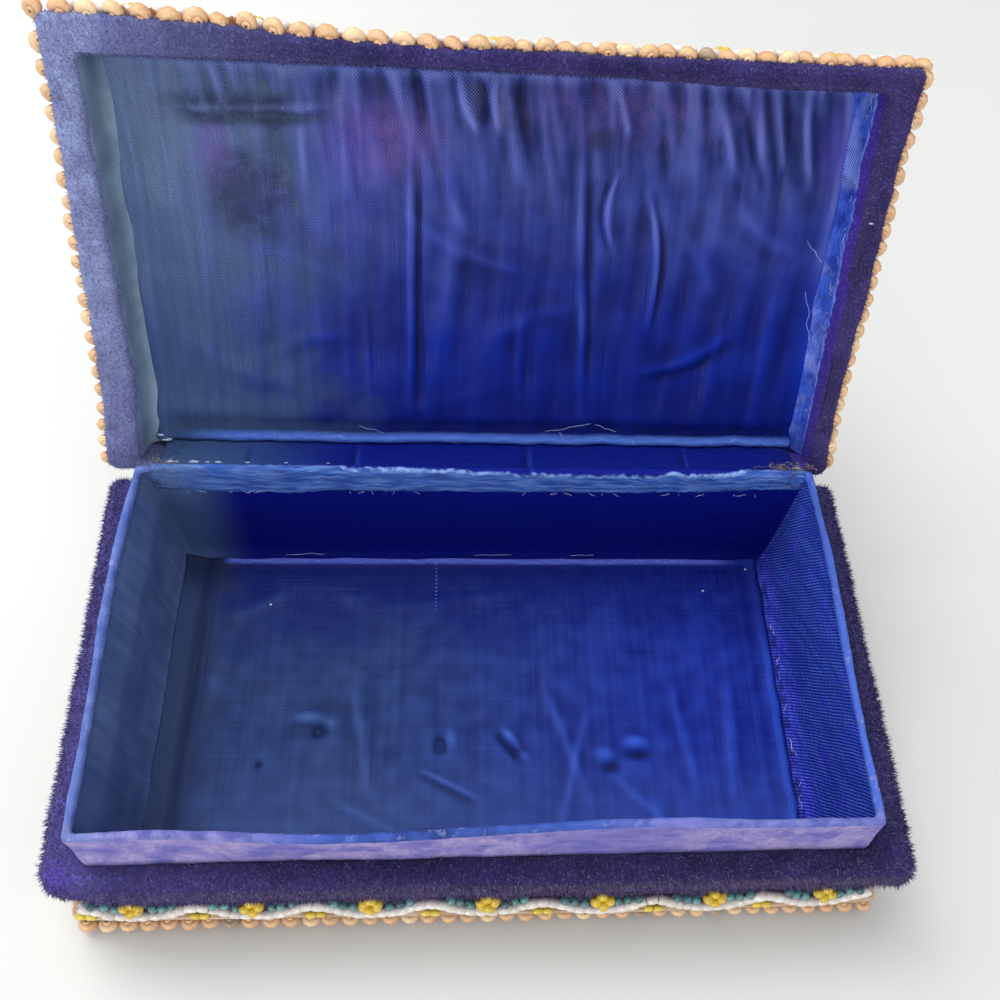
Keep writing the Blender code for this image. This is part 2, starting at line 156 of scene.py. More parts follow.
class Bench:
    """A node tree, with one method that adds any node."""

    def __init__(self, tree):
        self.tree = tree

    def node(self, kind, settings=None, inputs=None):
        made = self.tree.nodes.new(kind)
        for key, value in (settings or {}).items():
            setattr(made, key, value)
        for key, value in (inputs or {}).items():
            self.feed(made.inputs[key], value)
        return made

    def feed(self, socket, value):
        if isinstance(value, Number):
            value = value.socket
        if isinstance(value, bpy.types.NodeSocket):
            self.tree.links.new(value, socket)
        else:
            socket.default_value = value

    def number(self, kind, settings=None, inputs=None, output=0):
        return Number(self, self.node(kind, settings, inputs).outputs[output])


def dye(red, green, blue):
    """A linear colour from the usual 0 to 255 screen values."""
    linear = []
    for part in (red, green, blue):
        share = part / 255.0
        linear.append(share / 12.92 if share <= 0.04045 else ((share + 0.055) / 1.055) ** 2.4)
    return (*linear, 1.0)


class Finish(Bench):
    """A material round one Principled shader. Lengths in its patterns are millimetres."""

    def __init__(self, name, **constants):
        self.material = bpy.data.materials.new(name)
        self.material.use_nodes = True
        super().__init__(self.material.node_tree)
        self.shader = self.tree.nodes["Principled BSDF"]
        for key, value in constants.items():
            self.shader.inputs[key.replace("_", " ")].default_value = value
        place = self.node("ShaderNodeTexCoord").outputs["Object"]
        scaled = self.node("ShaderNodeVectorMath", {"operation": "SCALE"},
                           {0: place, "Scale": 1000.0})
        self.place = scaled.outputs[0]
        split = self.node("ShaderNodeSeparateXYZ", None, {0: self.place})
        self.x, self.y, self.z = (Number(self, s) for s in split.outputs)

    def cloth(self):
        """The piece's own flat coordinates: along and across its cloth."""
        flat = self.node("ShaderNodeUVMap", {"uv_map": "cloth"}).outputs[0]
        split = self.node("ShaderNodeSeparateXYZ", None, {0: flat})
        return Number(self, split.outputs[0]), Number(self, split.outputs[1])

    def vector(self, *parts):
        return self.node("ShaderNodeCombineXYZ", None, dict(enumerate(parts))).outputs[0]

    def attribute(self, name):
        return self.number("ShaderNodeAttribute", {"attribute_name": name}, None, "Fac")

    def cloud(self, grain, detail=2.0, rough=0.5, low=0.3, high=0.7, at=None):
        """Soft noise from 0 to 1 whose lumps are about grain across."""
        inputs = {"Vector": at or self.place, "Scale": 1.0 / grain, "Detail": detail,
                  "Roughness": rough}
        made = self.number("ShaderNodeTexNoise", None, inputs, "Fac")
        return made.ramp(low, high)

    def streaks(self, along, across, at_along, at_across, low=0.35, high=0.65):
        """Noise drawn out into streaks."""
        at = self.vector(at_along / along, at_across / across, 0.0)
        return self.cloud(1.0, low=low, high=high, at=at)

    def spot(self, first, second, middle, reach, soft=0.5):
        """A soft-edged oval patch, 1 inside and 0 outside."""
        across = (first - middle[0]) / reach[0]
        up = (second - middle[1]) / reach[1]
        away = (across * across + up * up) ** 0.5
        return away.ramp(1.0 + soft, 1.0 - soft)

    def mix(self, first, second, share):
        """One colour over another; a plain colour is three screen values."""
        first, second = (dye(*c) if isinstance(c, tuple) else c for c in (first, second))
        return self.node("ShaderNodeMix", {"data_type": "RGBA"},
                         {"Factor": share, 6: first, 7: second}).outputs[2]

    def lay(self, colour, share):
        """Lay one more colour over what the material shows so far."""
        self.shade = self.mix(self.shade, colour, share)

    def done(self, height, depth, rough=None):
        """The finished material; its relief runs from 0 to 1 over depth in millimetres."""
        self.feed(self.shader.inputs["Base Color"], self.shade)
        if rough is not None:
            self.feed(self.shader.inputs["Roughness"], rough)
        made = self.node("ShaderNodeBump", None,
                         {"Height": height, "Distance": depth * TO_METRES, "Strength": 1.0})
        self.feed(self.shader.inputs["Normal"], made.outputs[0])
        return self.material


# Finishes -------------------------------------------------------------------------------

def velvet_finish(name, deep, light, dusty):
    """Worn blue-violet velvet: mauve where scuffed, with pale stray hairs; painted glare haze greys one
    side and painted violet sheen brightens a few places.
    """
    made = Finish(name, Roughness=0.9, Sheen_Weight=0.25, Sheen_Roughness=0.4,
                  Sheen_Tint=(0.46, 0.42, 0.85, 1), Specular_IOR_Level=0.06)
    ground = made.mix(deep, light, made.cloud(6, 3))
    rub_and_shade = made.mix((96, 80, 116), (142, 120, 150), made.cloud(0.9, 3, 0.7))
    wear = made.attribute("wear") * (0.45 + 0.7 * made.cloud(3, 3))
    made.shade = made.mix(ground, rub_and_shade, wear.clamped())
    # painted glare haze: greys and pales the velvet on the side towards the window
    made.lay(dusty, made.attribute("dust") * (0.7 + 0.3 * made.cloud(4)))
    # painted violet sheen
    made.lay((112, 66, 255), made.attribute("vivid"))
    at = made.vector((made.x + made.z) / 0.35, made.y / 1.2, (made.z - made.x) / 1.2)
    stroke = made.cloud(1, 2, 0.6, 0.52, 0.72, at)
    made.lay(made.mix(made.shade, (150, 140, 196), 0.55), stroke * 0.6)
    speck = made.cloud(0.45, 2, 0.6, 0.45, 0.75)
    # less of the dark ground shows where the painted glare haze lies
    out_of_glare = 1 - 0.85 * made.x.ramp(-30, -68) * made.z.ramp(20, 34)
    made.lay((22, 18, 60), ((0.6 - 0.6 * speck) * out_of_glare).clamped())
    pale = made.attribute("tone").ramp(0.74, 0.80)
    made.lay((168, 160, 216), pale * 0.5 * out_of_glare)
    return made.done(made.cloud(0.45, 3, 0.7) + stroke, 0.3)


def weave(finish, along, across, pitch, wobble=0):
    """Dots of a plain weave, staggered row by row, from 0 to 1."""
    if wobble:
        drift = finish.cloud(6) * wobble
        along = along + drift
        across = across + drift
    turn = math.tau / pitch
    dots = (along * turn).cosine() * (across * turn).cosine() * 0.5 + 0.5
    return dots.ramp(0.42, 0.92)


def twill(finish, along, across, pitch, slope):
    """Slanting ribs of a twill, from 0 to 1."""
    drift = finish.cloud(7) * (pitch * 0.4)
    turn = math.tau / pitch
    rib = ((along + across * slope + drift) * turn).cosine() * 0.5 + 0.5
    beat = (across * (math.tau / (pitch * 2)) + finish.cloud(2) * 4).cosine() * 0.5 + 0.5
    return rib * (0.55 + 0.45 * beat)


def satin(name, **constants):
    settings = dict(Roughness=0.36, Sheen_Weight=0.04, Sheen_Roughness=0.3,
                    Sheen_Tint=(0.35, 0.5, 1, 1), Specular_IOR_Level=0.10)
    settings.update(constants)
    return Finish(name, **settings)


def specks(made, along, across, spots, reach):
    """Small round marks at given places, from 0 to 1."""
    share = made.spot(along, across, spots[0], (reach, reach), 0.6)
    for spot in spots[1:]:
        share = share + made.spot(along, across, spot, (reach, reach), 0.6)
    return share.clamped()


def floor_satin_finish():
    """Floor cover: greyed at the left by painted haze and shade, bluer at the right, deep in painted shade
    at the back, with painted highlights on crests and on its rolled back edge.
    """
    made = satin("tray_floor_satin")
    along, across = made.cloth()
    dots = weave(made, along, across, 0.58, 0.15)
    patch = 0.45 + 0.55 * made.cloud(7, 3)
    # greyer at the left, where haze is painted, bluer at the right
    right = made.x.ramp(-34, 52)
    deep = made.mix((22, 40, 88), (8, 24, 124), right)
    light = made.mix((72, 102, 168), (56, 92, 222), right)
    warp = made.streaks(70, 1.3, across, along, 0.30, 0.72)
    weft = made.streaks(40, 0.8, along, across, 0.30, 0.72)
    crest = made.attribute("crest")
    # crest lightens ridges and darkens hollows: painted highlight and painted shade
    grain = dots * patch * 0.62 + warp * 0.10 + weft * 0.08 + (crest - 0.5) * 0.9
    made.shade = made.mix(deep, light, grain.clamped())
    # painted shade in the hollows
    made.lay((8, 12, 50), crest.ramp(0.36, 0) * 0.6)
    front = made.y.ramp(-6, -28)
    made.lay((92, 120, 196), front * 0.16)
    back = (made.y + made.cloud(9) * 8 - 4).ramp(4, 27)
    made.lay((2, 16, 104), back * 0.75)
    # painted haze and shade along the left
    left = (made.x + made.cloud(6) * 4 - 2).ramp(-49, -57)
    greyer = made.mix((30, 44, 84), (54, 72, 112), (dots * 0.5 + warp * 0.4).clamped())
    made.lay(greyer, left * 0.85)
    # painted haze on the curled-up left edge
    curl = made.x.ramp(-57.8, -60)
    made.lay(made.mix((52, 68, 104), (72, 88, 124), dots), curl * 0.7)
    # painted shade in the back left corner
    corner = made.y.ramp(20, 31) * left
    made.lay((20, 32, 66), corner * 0.75)
    # painted shade along the furrow
    furrow = made.spot(made.x, made.y, (-57.6, 4), (1.6, 34), 0.8)
    made.lay((18, 28, 58), furrow * 0.35)
    # painted highlight on the rolled back edge
    roll = made.y.ramp(30.5, 31.3) * made.x.ramp(-55.5, -53) * made.x.ramp(56, 50)
    ribs = twill(made, along, across, 0.5, 1)
    made.lay(made.mix((48, 62, 190), (140, 156, 250), ribs), roll * 0.9)
    lint = specks(made, made.x, made.y, ((-44.2, 21), (57.7, 29.7), (47.6, 24.4)), 0.22)
    made.lay((210, 216, 236), lint * 0.8)
    # painted shadow along the foot of the right wall
    made.lay((6, 20, 96), made.x.ramp(57.5, 61.5) * 0.6)
    # painted shade inside three of the dents
    pits = specks(made, made.x, made.y, ((-43.2, -13.5), (30.8, -12.6), (23.8, -15.4)), 0.6)
    made.lay((16, 20, 54), pits * 0.35)
    pulled = made.spot(made.x, made.y, (-10.1, 26), (0.22, 7), 0.3)
    beat = (made.y * (math.tau / 0.9)).cosine().ramp(0, 0.6)
    made.lay((84, 108, 208), pulled * beat * 0.7)
    return made.done(dots + warp * 0.8 + weft * 0.5, 0.11, 0.34 + 0.16 * made.cloud(9))


def lining_satin_finish():
    """The lid's lining: royal blue, paler and greyer towards its free end by painted sky reflection,
    bleached in lilac patches and stained there, and greyed at the left partly by fading, partly by painted
    glare haze.
    """
    made = satin("lid_lining_satin", Specular_IOR_Level=0.12)
    along, up = made.cloth()
    drift = made.cloud(11, 3)
    dots = weave(made, along, up, 0.60, 0.2)
    warp = made.streaks(60, 1.4, up, along + 9, 0.28, 0.72)
    broad = made.cloud(17, 4, 0.55, 0.30, 0.70)
    # high: towards the free end, where a painted sky reflection pales and greys the satin
    high = (up + drift * 12 - 6).ramp(20, 72)
    deep = made.mix((2, 18, 104), (30, 42, 104), high)
    light = made.mix((16, 52, 182), (98, 114, 204), high)
    crest = made.attribute("crest")
    grain = dots * (0.15 + 0.6 * made.cloud(9, 3)) + warp * 0.10 + broad * 0.26 - 0.05
    # ridges lighter and hollows darker: painted highlight and painted shade
    grain = grain + (crest - 0.5) * 1.1
    made.shade = made.mix(deep, light, grain.clamped())
    # painted shade in the hollows
    made.lay((6, 10, 48), crest.ramp(0.42, 0.05) * 0.6)
    # painted glints on the ridges' weave
    made.lay((150, 156, 214), crest.ramp(0.62, 1) * dots * high * 0.75)
    low = up.ramp(28, 9)
    made.lay((1, 14, 100), low * 0.6)
    # greyed at the left, partly by fading, partly by painted glare haze
    left = (along + drift * 18 - 9).ramp(-14, -64)
    hazy = made.mix((42, 66, 104), (128, 150, 184),
                    (high * 0.42 + dots * 0.45 + warp * 0.08).clamped())
    made.lay(hazy, left * 0.84)
    torn = made.cloud(3.2, 4, 0.6)
    lilac = made.spot(along, up, (-19.5, 65), (9, 6.5), 0.8) * (0.45 + 0.55 * torn)
    lilac = lilac + made.spot(along, up, (-48.9, 61.5), (3.6, 5), 0.7) * torn
    lilac = lilac + made.spot(along, up, (26, 71), (20, 5), 0.8) * torn * 0.6
    pink = made.mix((96, 74, 160), (150, 122, 190), dots)
    made.lay(pink, lilac.clamped() * 0.75)
    # painted highlight on a fold
    bright = made.spot(along, up, (-27, 60), (5.5, 13), 0.8) * (0.3 + 0.7 * dots)
    made.lay((86, 96, 206), bright * 0.55)
    violet = made.spot(along, up, (66.6, 66), (5, 7), 0.8)
    made.lay((84, 64, 178), violet * 0.5)
    stain = made.spot(along, up, (-43.6, 54.5), (6.5, 7.5), 0.6) * 1.2
    stain = stain + made.spot(along, up, (20.2, 66.3), (2.4, 2.2), 0.6)
    stain = stain + made.spot(along, up, (-44, 69.2), (13, 2.8), 0.7) * 1.1
    stain = stain + made.spot(along, up, (-38, 64), (2.4, 6), 0.7) * 0.6
    stain = stain + made.spot(along, up, (4, 70), (2.2, 5), 0.6) * 0.7
    made.lay((30, 32, 56), (stain * (0.4 + 0.9 * torn)).clamped() * 0.6)
    glare = made.spot(along, up, (-3.4, 71.6), (1.3, 4.5), 0.6)
    glare = glare + made.spot(along, up, (1.4, 71.2), (0.9, 3.6), 0.6)
    glare = glare + made.spot(along, up, (-26.4, 71), (1.2, 3), 0.6)
    made.lay((168, 168, 212), glare.clamped() * (0.05 + 0.6 * dots * torn))
    # painted highlight on the roll at the hinge
    roll = up.ramp(6.2, 5.2) * along.ramp(-64, -50)
    ribs = twill(made, along, up, 0.52, 1)
    made.lay(made.mix((36, 70, 190), (130, 176, 255), ribs), roll * 0.9)
    return made.done(dots + warp * 0.8 + broad * 0.6, 0.12, 0.32 + 0.16 * made.cloud(8))


def wall_satin_finish():
    """Inside walls of the tray: greyed on the left by painted haze, near black at the back in painted
    shade, ribbed right with painted glints.
    """
    made = satin("tray_wall_satin")
    along, up = made.cloth()
    facing = made.node("ShaderNodeAttribute", {"attribute_name": "facing"}).outputs["Vector"]
    split = made.node("ShaderNodeSeparateXYZ", None, {0: facing})
    side = Number(made, split.outputs[0])
    depth = Number(made, split.outputs[1])
    # each side of the tray gets its own lit or shaded copy of the satin
    right = side.ramp(0.5, 0.9)
    left = side.ramp(-0.5, -0.9)
    back = (depth.ramp(0.5, 0.9) + left * made.y.ramp(31.6, 32.8)).clamped()
    ribs = twill(made, made.y, made.z, 0.66, 0.50)
    dots = weave(made, along, up, 0.55)
    made.shade = made.mix((14, 30, 120), (36, 60, 166), dots)
    band = made.streaks(16, 2.6, along + up * 1.2, up - along * 0.6, 0.4, 0.62)
    # painted glints
    spark = made.cloud(0.5, 2, 0.6, 0.60, 0.78)
    ribbed = made.mix((14, 34, 126), (78, 110, 216), ribs)
    patch = made.cloud(5, 3, 0.6, 0.50, 0.70)
    patch = (patch + made.z.ramp(13, 7) * (0.4 + 0.6 * made.cloud(4))).clamped()
    lively = made.mix((22, 10, 164), (98, 98, 238), ribs)
    ribbed = made.mix(ribbed, lively, patch * 0.65)
    ribbed = made.mix(ribbed, (12, 16, 130), band * 0.35)
    # painted glints on the ribs
    ribbed = made.mix(ribbed, (150, 170, 246), spark * ribs * 0.9)
    made.lay(ribbed, right)
    # painted haze on the left wall
    grey = made.mix((80, 102, 146), (106, 128, 174), (made.cloud(9) * 0.6 + dots * 0.4))
    warp = made.streaks(24, 1.2, up, along)
    grey = made.mix(grey, (66, 88, 136), warp * 0.5)
    made.lay(grey, left * 0.95)
    # painted shade on the back wall, with painted haze at its left end
    deep = made.mix((84, 108, 144), (0, 5, 106), made.x.ramp(-64, -48))
    deep = made.mix(deep, (4, 26, 136), dots * 0.25)
    made.lay(deep, back * 0.95)
    # painted shade where the right wall meets the floor
    foot = made.z.ramp(FLOOR_Z + 0.8, FLOOR_Z + 0.3) * right * 0.6
    made.lay((12, 16, 44), foot * made.cloud(2.2, 3, 0.6, 0.4, 0.6))
    return made.done(ribs * right + dots * (1 - right) * 0.6, 0.12, 0.36 + 0.14 * made.cloud(7))


def binding_finish():
    """Satin turned over the tray's rim: light blue, paling to lilac at the front left, with painted haze at
    its far left.
    """
    made = satin("rim_satin", Roughness=0.55)
    along, across = made.cloth()
    ribs = twill(made, along, across, 0.36, 0.9)
    blue = made.mix((48, 74, 168), (104, 134, 222), ribs)
    blue = made.mix(blue, (70, 104, 206), made.cloud(5) * 0.5)
    lilac = made.mix((92, 92, 158), (146, 140, 196), made.cloud(2.5, 3))
    front = made.y.ramp(-31, -34)
    greyer = made.x.ramp(-24, -44) * 1.1 + made.x.ramp(14, 34) * 0.7
    made.shade = made.mix(blue, lilac, (front * greyer).clamped() * 0.85)
    dull = made.spot(made.x, made.y, (-4, -36), (24, 5), 0.7)
    made.lay((44, 64, 132), dull * (0.4 + 0.6 * made.cloud(3)))
    # painted haze at the far left
    hazy = made.mix((84, 104, 168), (120, 138, 196), made.cloud(4, 3))
    made.lay(hazy, made.x.ramp(-60, -64) * 0.7)
    worn = made.cloud(1.6, 3, 0.6, 0.56, 0.72)
    made.lay((158, 156, 206), worn * 0.45)
    return made.done(ribs + made.cloud(0.5), 0.08)


def collar_finish():
    """Outside of the collar: violet-blue cloth bleached in pale lilac and pink patches."""
    made = satin("collar_satin", Roughness=0.65, Specular_IOR_Level=0.25)
    along, up = made.cloth()
    warp = made.streaks(1, 7, up, along)
    ground = made.mix((98, 100, 182), (132, 128, 200), warp)
    pale = made.mix((160, 148, 206), (196, 180, 220), made.cloud(2.2, 3, 0.6))
    at = made.vector(made.x / 7, made.y / 7, made.z / 4.5)
    worn = made.cloud(1, 5, 0.66, 0.34, 0.58, at)
    blue = made.spot(made.x, made.z, (21, 29), (11, 8), 0.7)
    made.shade = made.mix(ground, pale, worn * (1 - 0.75 * blue))
    fine = made.cloud(0.7, 3, 0.7, 0.40, 0.62)
    made.lay((126, 110, 178), fine * 0.35)
    thread = weave(made, along, up, 0.5)
    made.lay((84, 78, 168), (0.25 - 0.25 * thread))
    # painted shade where the collar meets the flange
    low = made.z.ramp(FLANGE_Z + 1.4, FLANGE_Z - 0.2)
    made.lay((58, 50, 116), low * 0.6)
    return made.done(thread + warp + fine, 0.09)


def strip_finish():
    """Satin strips between the recess's velvet and its lining: blue right, greyed left by painted haze."""
    made = satin("recess_satin", Roughness=0.45)
    along, up = made.cloth()
    ribs = twill(made, along, up, 0.5, 0.9)
    made.shade = made.mix((22, 48, 164), (92, 132, 246), ribs)
    # painted shade of folds
    folds = made.cloud(4, 3, 0.6, 0.48, 0.62)
    made.lay((8, 20, 140), folds * 0.55)
    dots = weave(made, along, up, 0.56, 0.15)
    at = made.vector(made.x / 3.4 + 7, made.y / 3.4, made.z / 3.4)
    glint = made.cloud(3.4, 4, 0.65, 0.46, 0.60, at)
    made.lay((196, 210, 255), glint * dots * 0.85)
    edge = up.ramp(0.5, 0.1) * made.cloud(1.6)
    made.lay((126, 152, 240), edge * 0.7)
    # painted haze on the left strip
    grey = made.mix((112, 136, 156), (150, 172, 190), (ribs * 0.3 + made.cloud(7) * 0.7))
    made.lay(grey, made.x.ramp(10, -10))
    return made.done(ribs, 0.09)


def tape_finish():
    """The hinge cloth: light blue below a torn edge, mottled with painted highlights and painted shade of
    its crinkles, dark blue satin above it.
    """
    made = satin("hinge_cloth_satin", Roughness=0.5)
    along, across = made.cloth()
    above = (made.attribute("above") + made.cloud(0.8, 3, 0.6) * 0.6 - 0.3).ramp(-0.14, 0.14)
    ribs = twill(made, along, across, 0.6, 1)
    dots = weave(made, along, across, 0.62, 0.2)
    grain = ribs * 0.55 + dots * 0.45
    # painted highlights of the crinkles
    mottle = made.streaks(5, 0.9, along, across, 0.38, 0.60)
    light = made.mix((30, 66, 150), (84, 128, 218), grain)
    light = made.mix(light, (150, 184, 238), (mottle * grain * 0.8).clamped())
    # painted shade of the crinkles
    rub_and_shade = made.streaks(9, 0.8, along + 60, across, 0.46, 0.60)
    light = made.mix(light, (20, 46, 122), rub_and_shade * 0.55)
    # painted haze at the left
    hazy = made.mix((70, 96, 150), (116, 144, 190), grain)
    light = made.mix(light, hazy, made.x.ramp(-52, -62) * 0.8)
    dark = made.mix((1, 14, 118), (24, 54, 176), dots * 0.6)
    # painted haze at the left
    dark = made.mix(dark, (62, 88, 132), made.x.ramp(-26, -62))
    for place, width in ((-48.1, 0.5), (-27.2, 0.7), (8, 0.8), (41, 0.5)):
        # painted shade in each fold, and a painted highlight beside it
        fold = made.spot(along, across, (place, 13), (width, 7), 0.6)
        dark = made.mix(dark, (2, 8, 76), fold * 0.45)
        lit = made.spot(along, across, (place + 1.2, 13), (width * 0.7, 7), 0.6)
        dark = made.mix(dark, (50, 80, 190), lit * 0.3)
    made.shade = made.mix(light, dark, above)
    lip = made.attribute("above")
    torn = lip.ramp(-0.9, -0.2) * lip.ramp(0.5, 0)
    made.lay((150, 184, 240), torn * made.cloud(1.4) * 0.8)
    # painted shade of the slit
    slit = made.spot(along, across, (-46, 8.1), (18, 0.35), 0.25)
    slit = slit * made.cloud(2.4, 2, 0.5, 0.38, 0.5)
    made.lay((10, 14, 36), slit * 0.9)
    ends = made.x.size().ramp(58, 63) * made.cloud(1.2, 3, 0.6, 0.5, 0.62)
    made.lay((54, 52, 60), ends * 0.6)
    return made.done(grain + mottle * 0.6, 0.14)


def card_finish():
    """Edge of pale layered card, darker brown along its lower side."""
    made = Finish("card_edge", Roughness=0.85, Specular_IOR_Level=0.25)
    at = made.vector(made.x / 14, made.y / 14, made.z / 0.3)
    layers = made.cloud(1, 3, 0.6, at=at)
    made.shade = made.mix((172, 138, 108), (220, 196, 168), layers)
    made.lay((120, 88, 66), made.cloud(4, 3, 0.6, 0.58, 0.78) * 0.6)
    low = made.z.ramp(LEDGE_LOW[2] + 0.7, LEDGE_LOW[2] + 0.2)
    made.lay((98, 68, 50), low * 0.8)
    return made.done(layers + made.cloud(0.6), 0.1)


def board_finish():
    """Dull brown bottom card with specks."""
    made = Finish("foot_card", Roughness=0.9, Specular_IOR_Level=0.25)
    made.shade = made.mix((126, 106, 86), (150, 130, 106), made.cloud(6, 4, 0.6))
    made.lay((88, 72, 58), made.cloud(0.8, 2, 0.6, 0.66, 0.8) * 0.6)
    fibre = made.streaks(3, 0.25, made.x, made.y, 0.5, 0.75)
    made.lay((168, 150, 126), fibre * 0.3)
    return made.done(made.cloud(0.5, 3, 0.7) + fibre, 0.08)


def shell_finish():
    """Small snail shells: orange and cream, darker in the seams between whorls."""
    made = Finish("snail_shell", Roughness=0.40, Specular_IOR_Level=0.5)
    tone = made.attribute("tone")
    seam = made.attribute("seam")
    growth = made.attribute("growth")
    ground = made.mix((198, 136, 82), (228, 176, 114), made.cloud(1.6, 3))
    ground = made.mix(ground, (208, 132, 80), tone.ramp(0.1, 0.6) * 0.55)
    ground = made.mix(ground, (240, 212, 166), tone.ramp(0.74, 0.95) * 0.7)
    rings = (growth * (math.tau * 34)).cosine() * 0.5 + 0.5
    ground = made.mix(ground, (182, 118, 70), rings * 0.16)
    band = made.attribute("shoulder")
    ground = made.mix(ground, (248, 226, 188), band * 0.45)
    made.shade = made.mix(ground, (120, 66, 32), seam.ramp(0.25, 0.85) * 0.85)
    # painted shade in the mouth
    made.lay((104, 74, 52), made.attribute("mouth") * 0.85)
    made.lay((142, 124, 106), tone.ramp(0.982, 0.988) * 0.8)
    return made.done(rings * 0.4 + made.cloud(0.5), 0.05)


def bead_finish(name, colour, other, **constants):
    settings = dict(Roughness=0.3, Specular_IOR_Level=0.5, Coat_Weight=0.3,
                    Coat_Roughness=0.12)
    settings.update(constants)
    made = Finish(name, **settings)
    tone = made.attribute("tone")
    made.shade = made.mix(colour, other, (tone * 0.7 + made.cloud(2) * 0.4).clamped())
    # painted shade in the hole
    made.lay((90, 76, 62), made.attribute("hollow") * 0.75)
    grime = made.cloud(1.1, 3, 0.6, 0.58, 0.78)
    made.lay((140, 122, 108), grime * 0.4)
    return made.done(made.cloud(0.8), 0.03, 0.22 + 0.2 * made.cloud(1.2))


def thread_finish(name, colour, other):
    made = Finish(name, Roughness=0.7, Sheen_Weight=0.3, Specular_IOR_Level=0.3)
    made.shade = made.mix(colour, other, made.cloud(1.5, 3))
    return made.done(made.cloud(0.12), 0.03)


FLOOR_Z = PAD_HIGH[2]
# the third colour of each velvet is its painted glare haze
BASE_VELVET = velvet_finish("base_velvet", (40, 34, 84), (64, 56, 126), (120, 110, 196))
LID_VELVET = velvet_finish("lid_velvet", (60, 52, 124), (92, 82, 166), (176, 190, 240))
FLOOR_SATIN = floor_satin_finish()
LINING_SATIN = lining_satin_finish()
WALL_SATIN = wall_satin_finish()
BINDING = binding_finish()
COLLAR = collar_finish()
STRIP = strip_finish()
TAPE = tape_finish()
CARD = card_finish()
BOARD = board_finish()
SHELL = shell_finish()
WHITE = bead_finish("white_beads", (240, 234, 226), (216, 204, 196), Roughness=0.34)
YELLOW = bead_finish("yellow_beads", (226, 194, 52), (206, 168, 34))
TEAL = bead_finish("teal_beads", (120, 196, 196), (74, 116, 128), Roughness=0.12,
                   Transmission_Weight=0.3)
TUBE = bead_finish("yellow_tube_beads", (232, 204, 80), (214, 182, 58))
GLUE = thread_finish("old_glue", (196, 204, 224), (150, 162, 196))
PALE_THREAD = thread_finish("pale_threads", (140, 164, 226), (204, 212, 236))
BROWN_THREAD = thread_finish("brown_threads", (96, 84, 76), (150, 132, 116))

# Mesh making ----------------------------------------------------------------------------

LONG_STEPS = 190
SHORT_STEPS = 104
CORNER_STEPS = 8
STATIONS = 2 * (LONG_STEPS + SHORT_STEPS) + 4 * CORNER_STEPS


def ring_of(left, right, front, back, corner, z):
    """Stations round a level rounded rectangle, anticlockwise from its front left."""
    sides = (((left + corner, front), (right - corner, front), LONG_STEPS),
             ((right, front + corner), (right, back - corner), SHORT_STEPS),
             ((right - corner, back), (left + corner, back), LONG_STEPS),
             ((left, back - corner), (left, front + corner), SHORT_STEPS))
    hubs = ((right - corner, front + corner), (right - corner, back - corner),
            (left + corner, back - corner), (left + corner, front + corner))
    points = []
    for quarter, ((start, end, steps), hub) in enumerate(zip(sides, hubs)):
        for step in range(steps):
            share = step / steps
            points.append([start[k] + share * (end[k] - start[k]) for k in (0, 1)])
        for step in range(CORNER_STEPS):
            turn = math.radians(90 * (quarter - 1 + step / CORNER_STEPS))
            points.append([hub[0] + corner * math.cos(turn), hub[1] + corner * math.sin(turn)])
    points = np.array(points)
    return np.column_stack([points, np.full(len(points), float(z))])


def outward(ring):
    """Level outward direction at each station of a ring."""
    along = np.roll(ring, -1, 0) - np.roll(ring, 1, 0)
    out = np.column_stack([along[:, 1], -along[:, 0]])
    return out / np.maximum(np.linalg.norm(out, axis=1), 1e-9)[:, None]


def filled_in(rings, spacing):
    """The rings with straight ones between them, no further apart than spacing."""
    out = [rings[0]]
    for before, after in zip(rings, rings[1:]):
        gap = np.linalg.norm(after - before, axis=1).max()
        steps = max(1, math.ceil(gap / spacing))
        out += [before + (after - before) * k / steps for k in range(1, steps + 1)]
    return out


def new_object(name, data):
    made = bpy.data.objects.new(name, data)
    bpy.context.scene.collection.objects.link(made)
    return made


def evaluated(made):
    """A plain mesh of an object with its modifiers applied."""
    return bpy.data.meshes.new_from_object(
        made.evaluated_get(bpy.context.evaluated_depsgraph_get()))


def band_faces(rows, count, closed=False):
    """Four-sided faces between neighbouring rings of count points each."""
    return [(row * count + k, row * count + (k + 1) % count,
             (row + 1) % rows * count + (k + 1) % count, (row + 1) % rows * count + k)
            for row in range(rows if closed else rows - 1) for k in range(count)]


def mesh_piece(name, points, faces, finishes, face_finish=None, uv=None, marks=None):
    """An object from points in millimetres; marks are named numbers on its points."""
    mesh = bpy.data.meshes.new(name)
    mesh.from_pydata((np.asarray(points) * TO_METRES).tolist(), [], faces)
    for finish in finishes:
        mesh.materials.append(finish)
    if face_finish is not None:
        mesh.polygons.foreach_set("material_index", np.asarray(face_finish, np.int32))
    if uv is not None:
        layer = mesh.uv_layers.new(name="cloth")
        layer.data.foreach_set("uv", np.asarray(uv, np.float32).ravel())
    for key, values in (marks or {}).items():
        values = np.asarray(values, np.float32)
        kind = "FLOAT_VECTOR" if values.ndim == 2 else "FLOAT"
        mark = mesh.attributes.new(key, kind, "POINT")
        mark.data.foreach_set("vector" if values.ndim == 2 else "value", values.ravel())
    mesh.shade_smooth()
    return new_object(name, mesh)


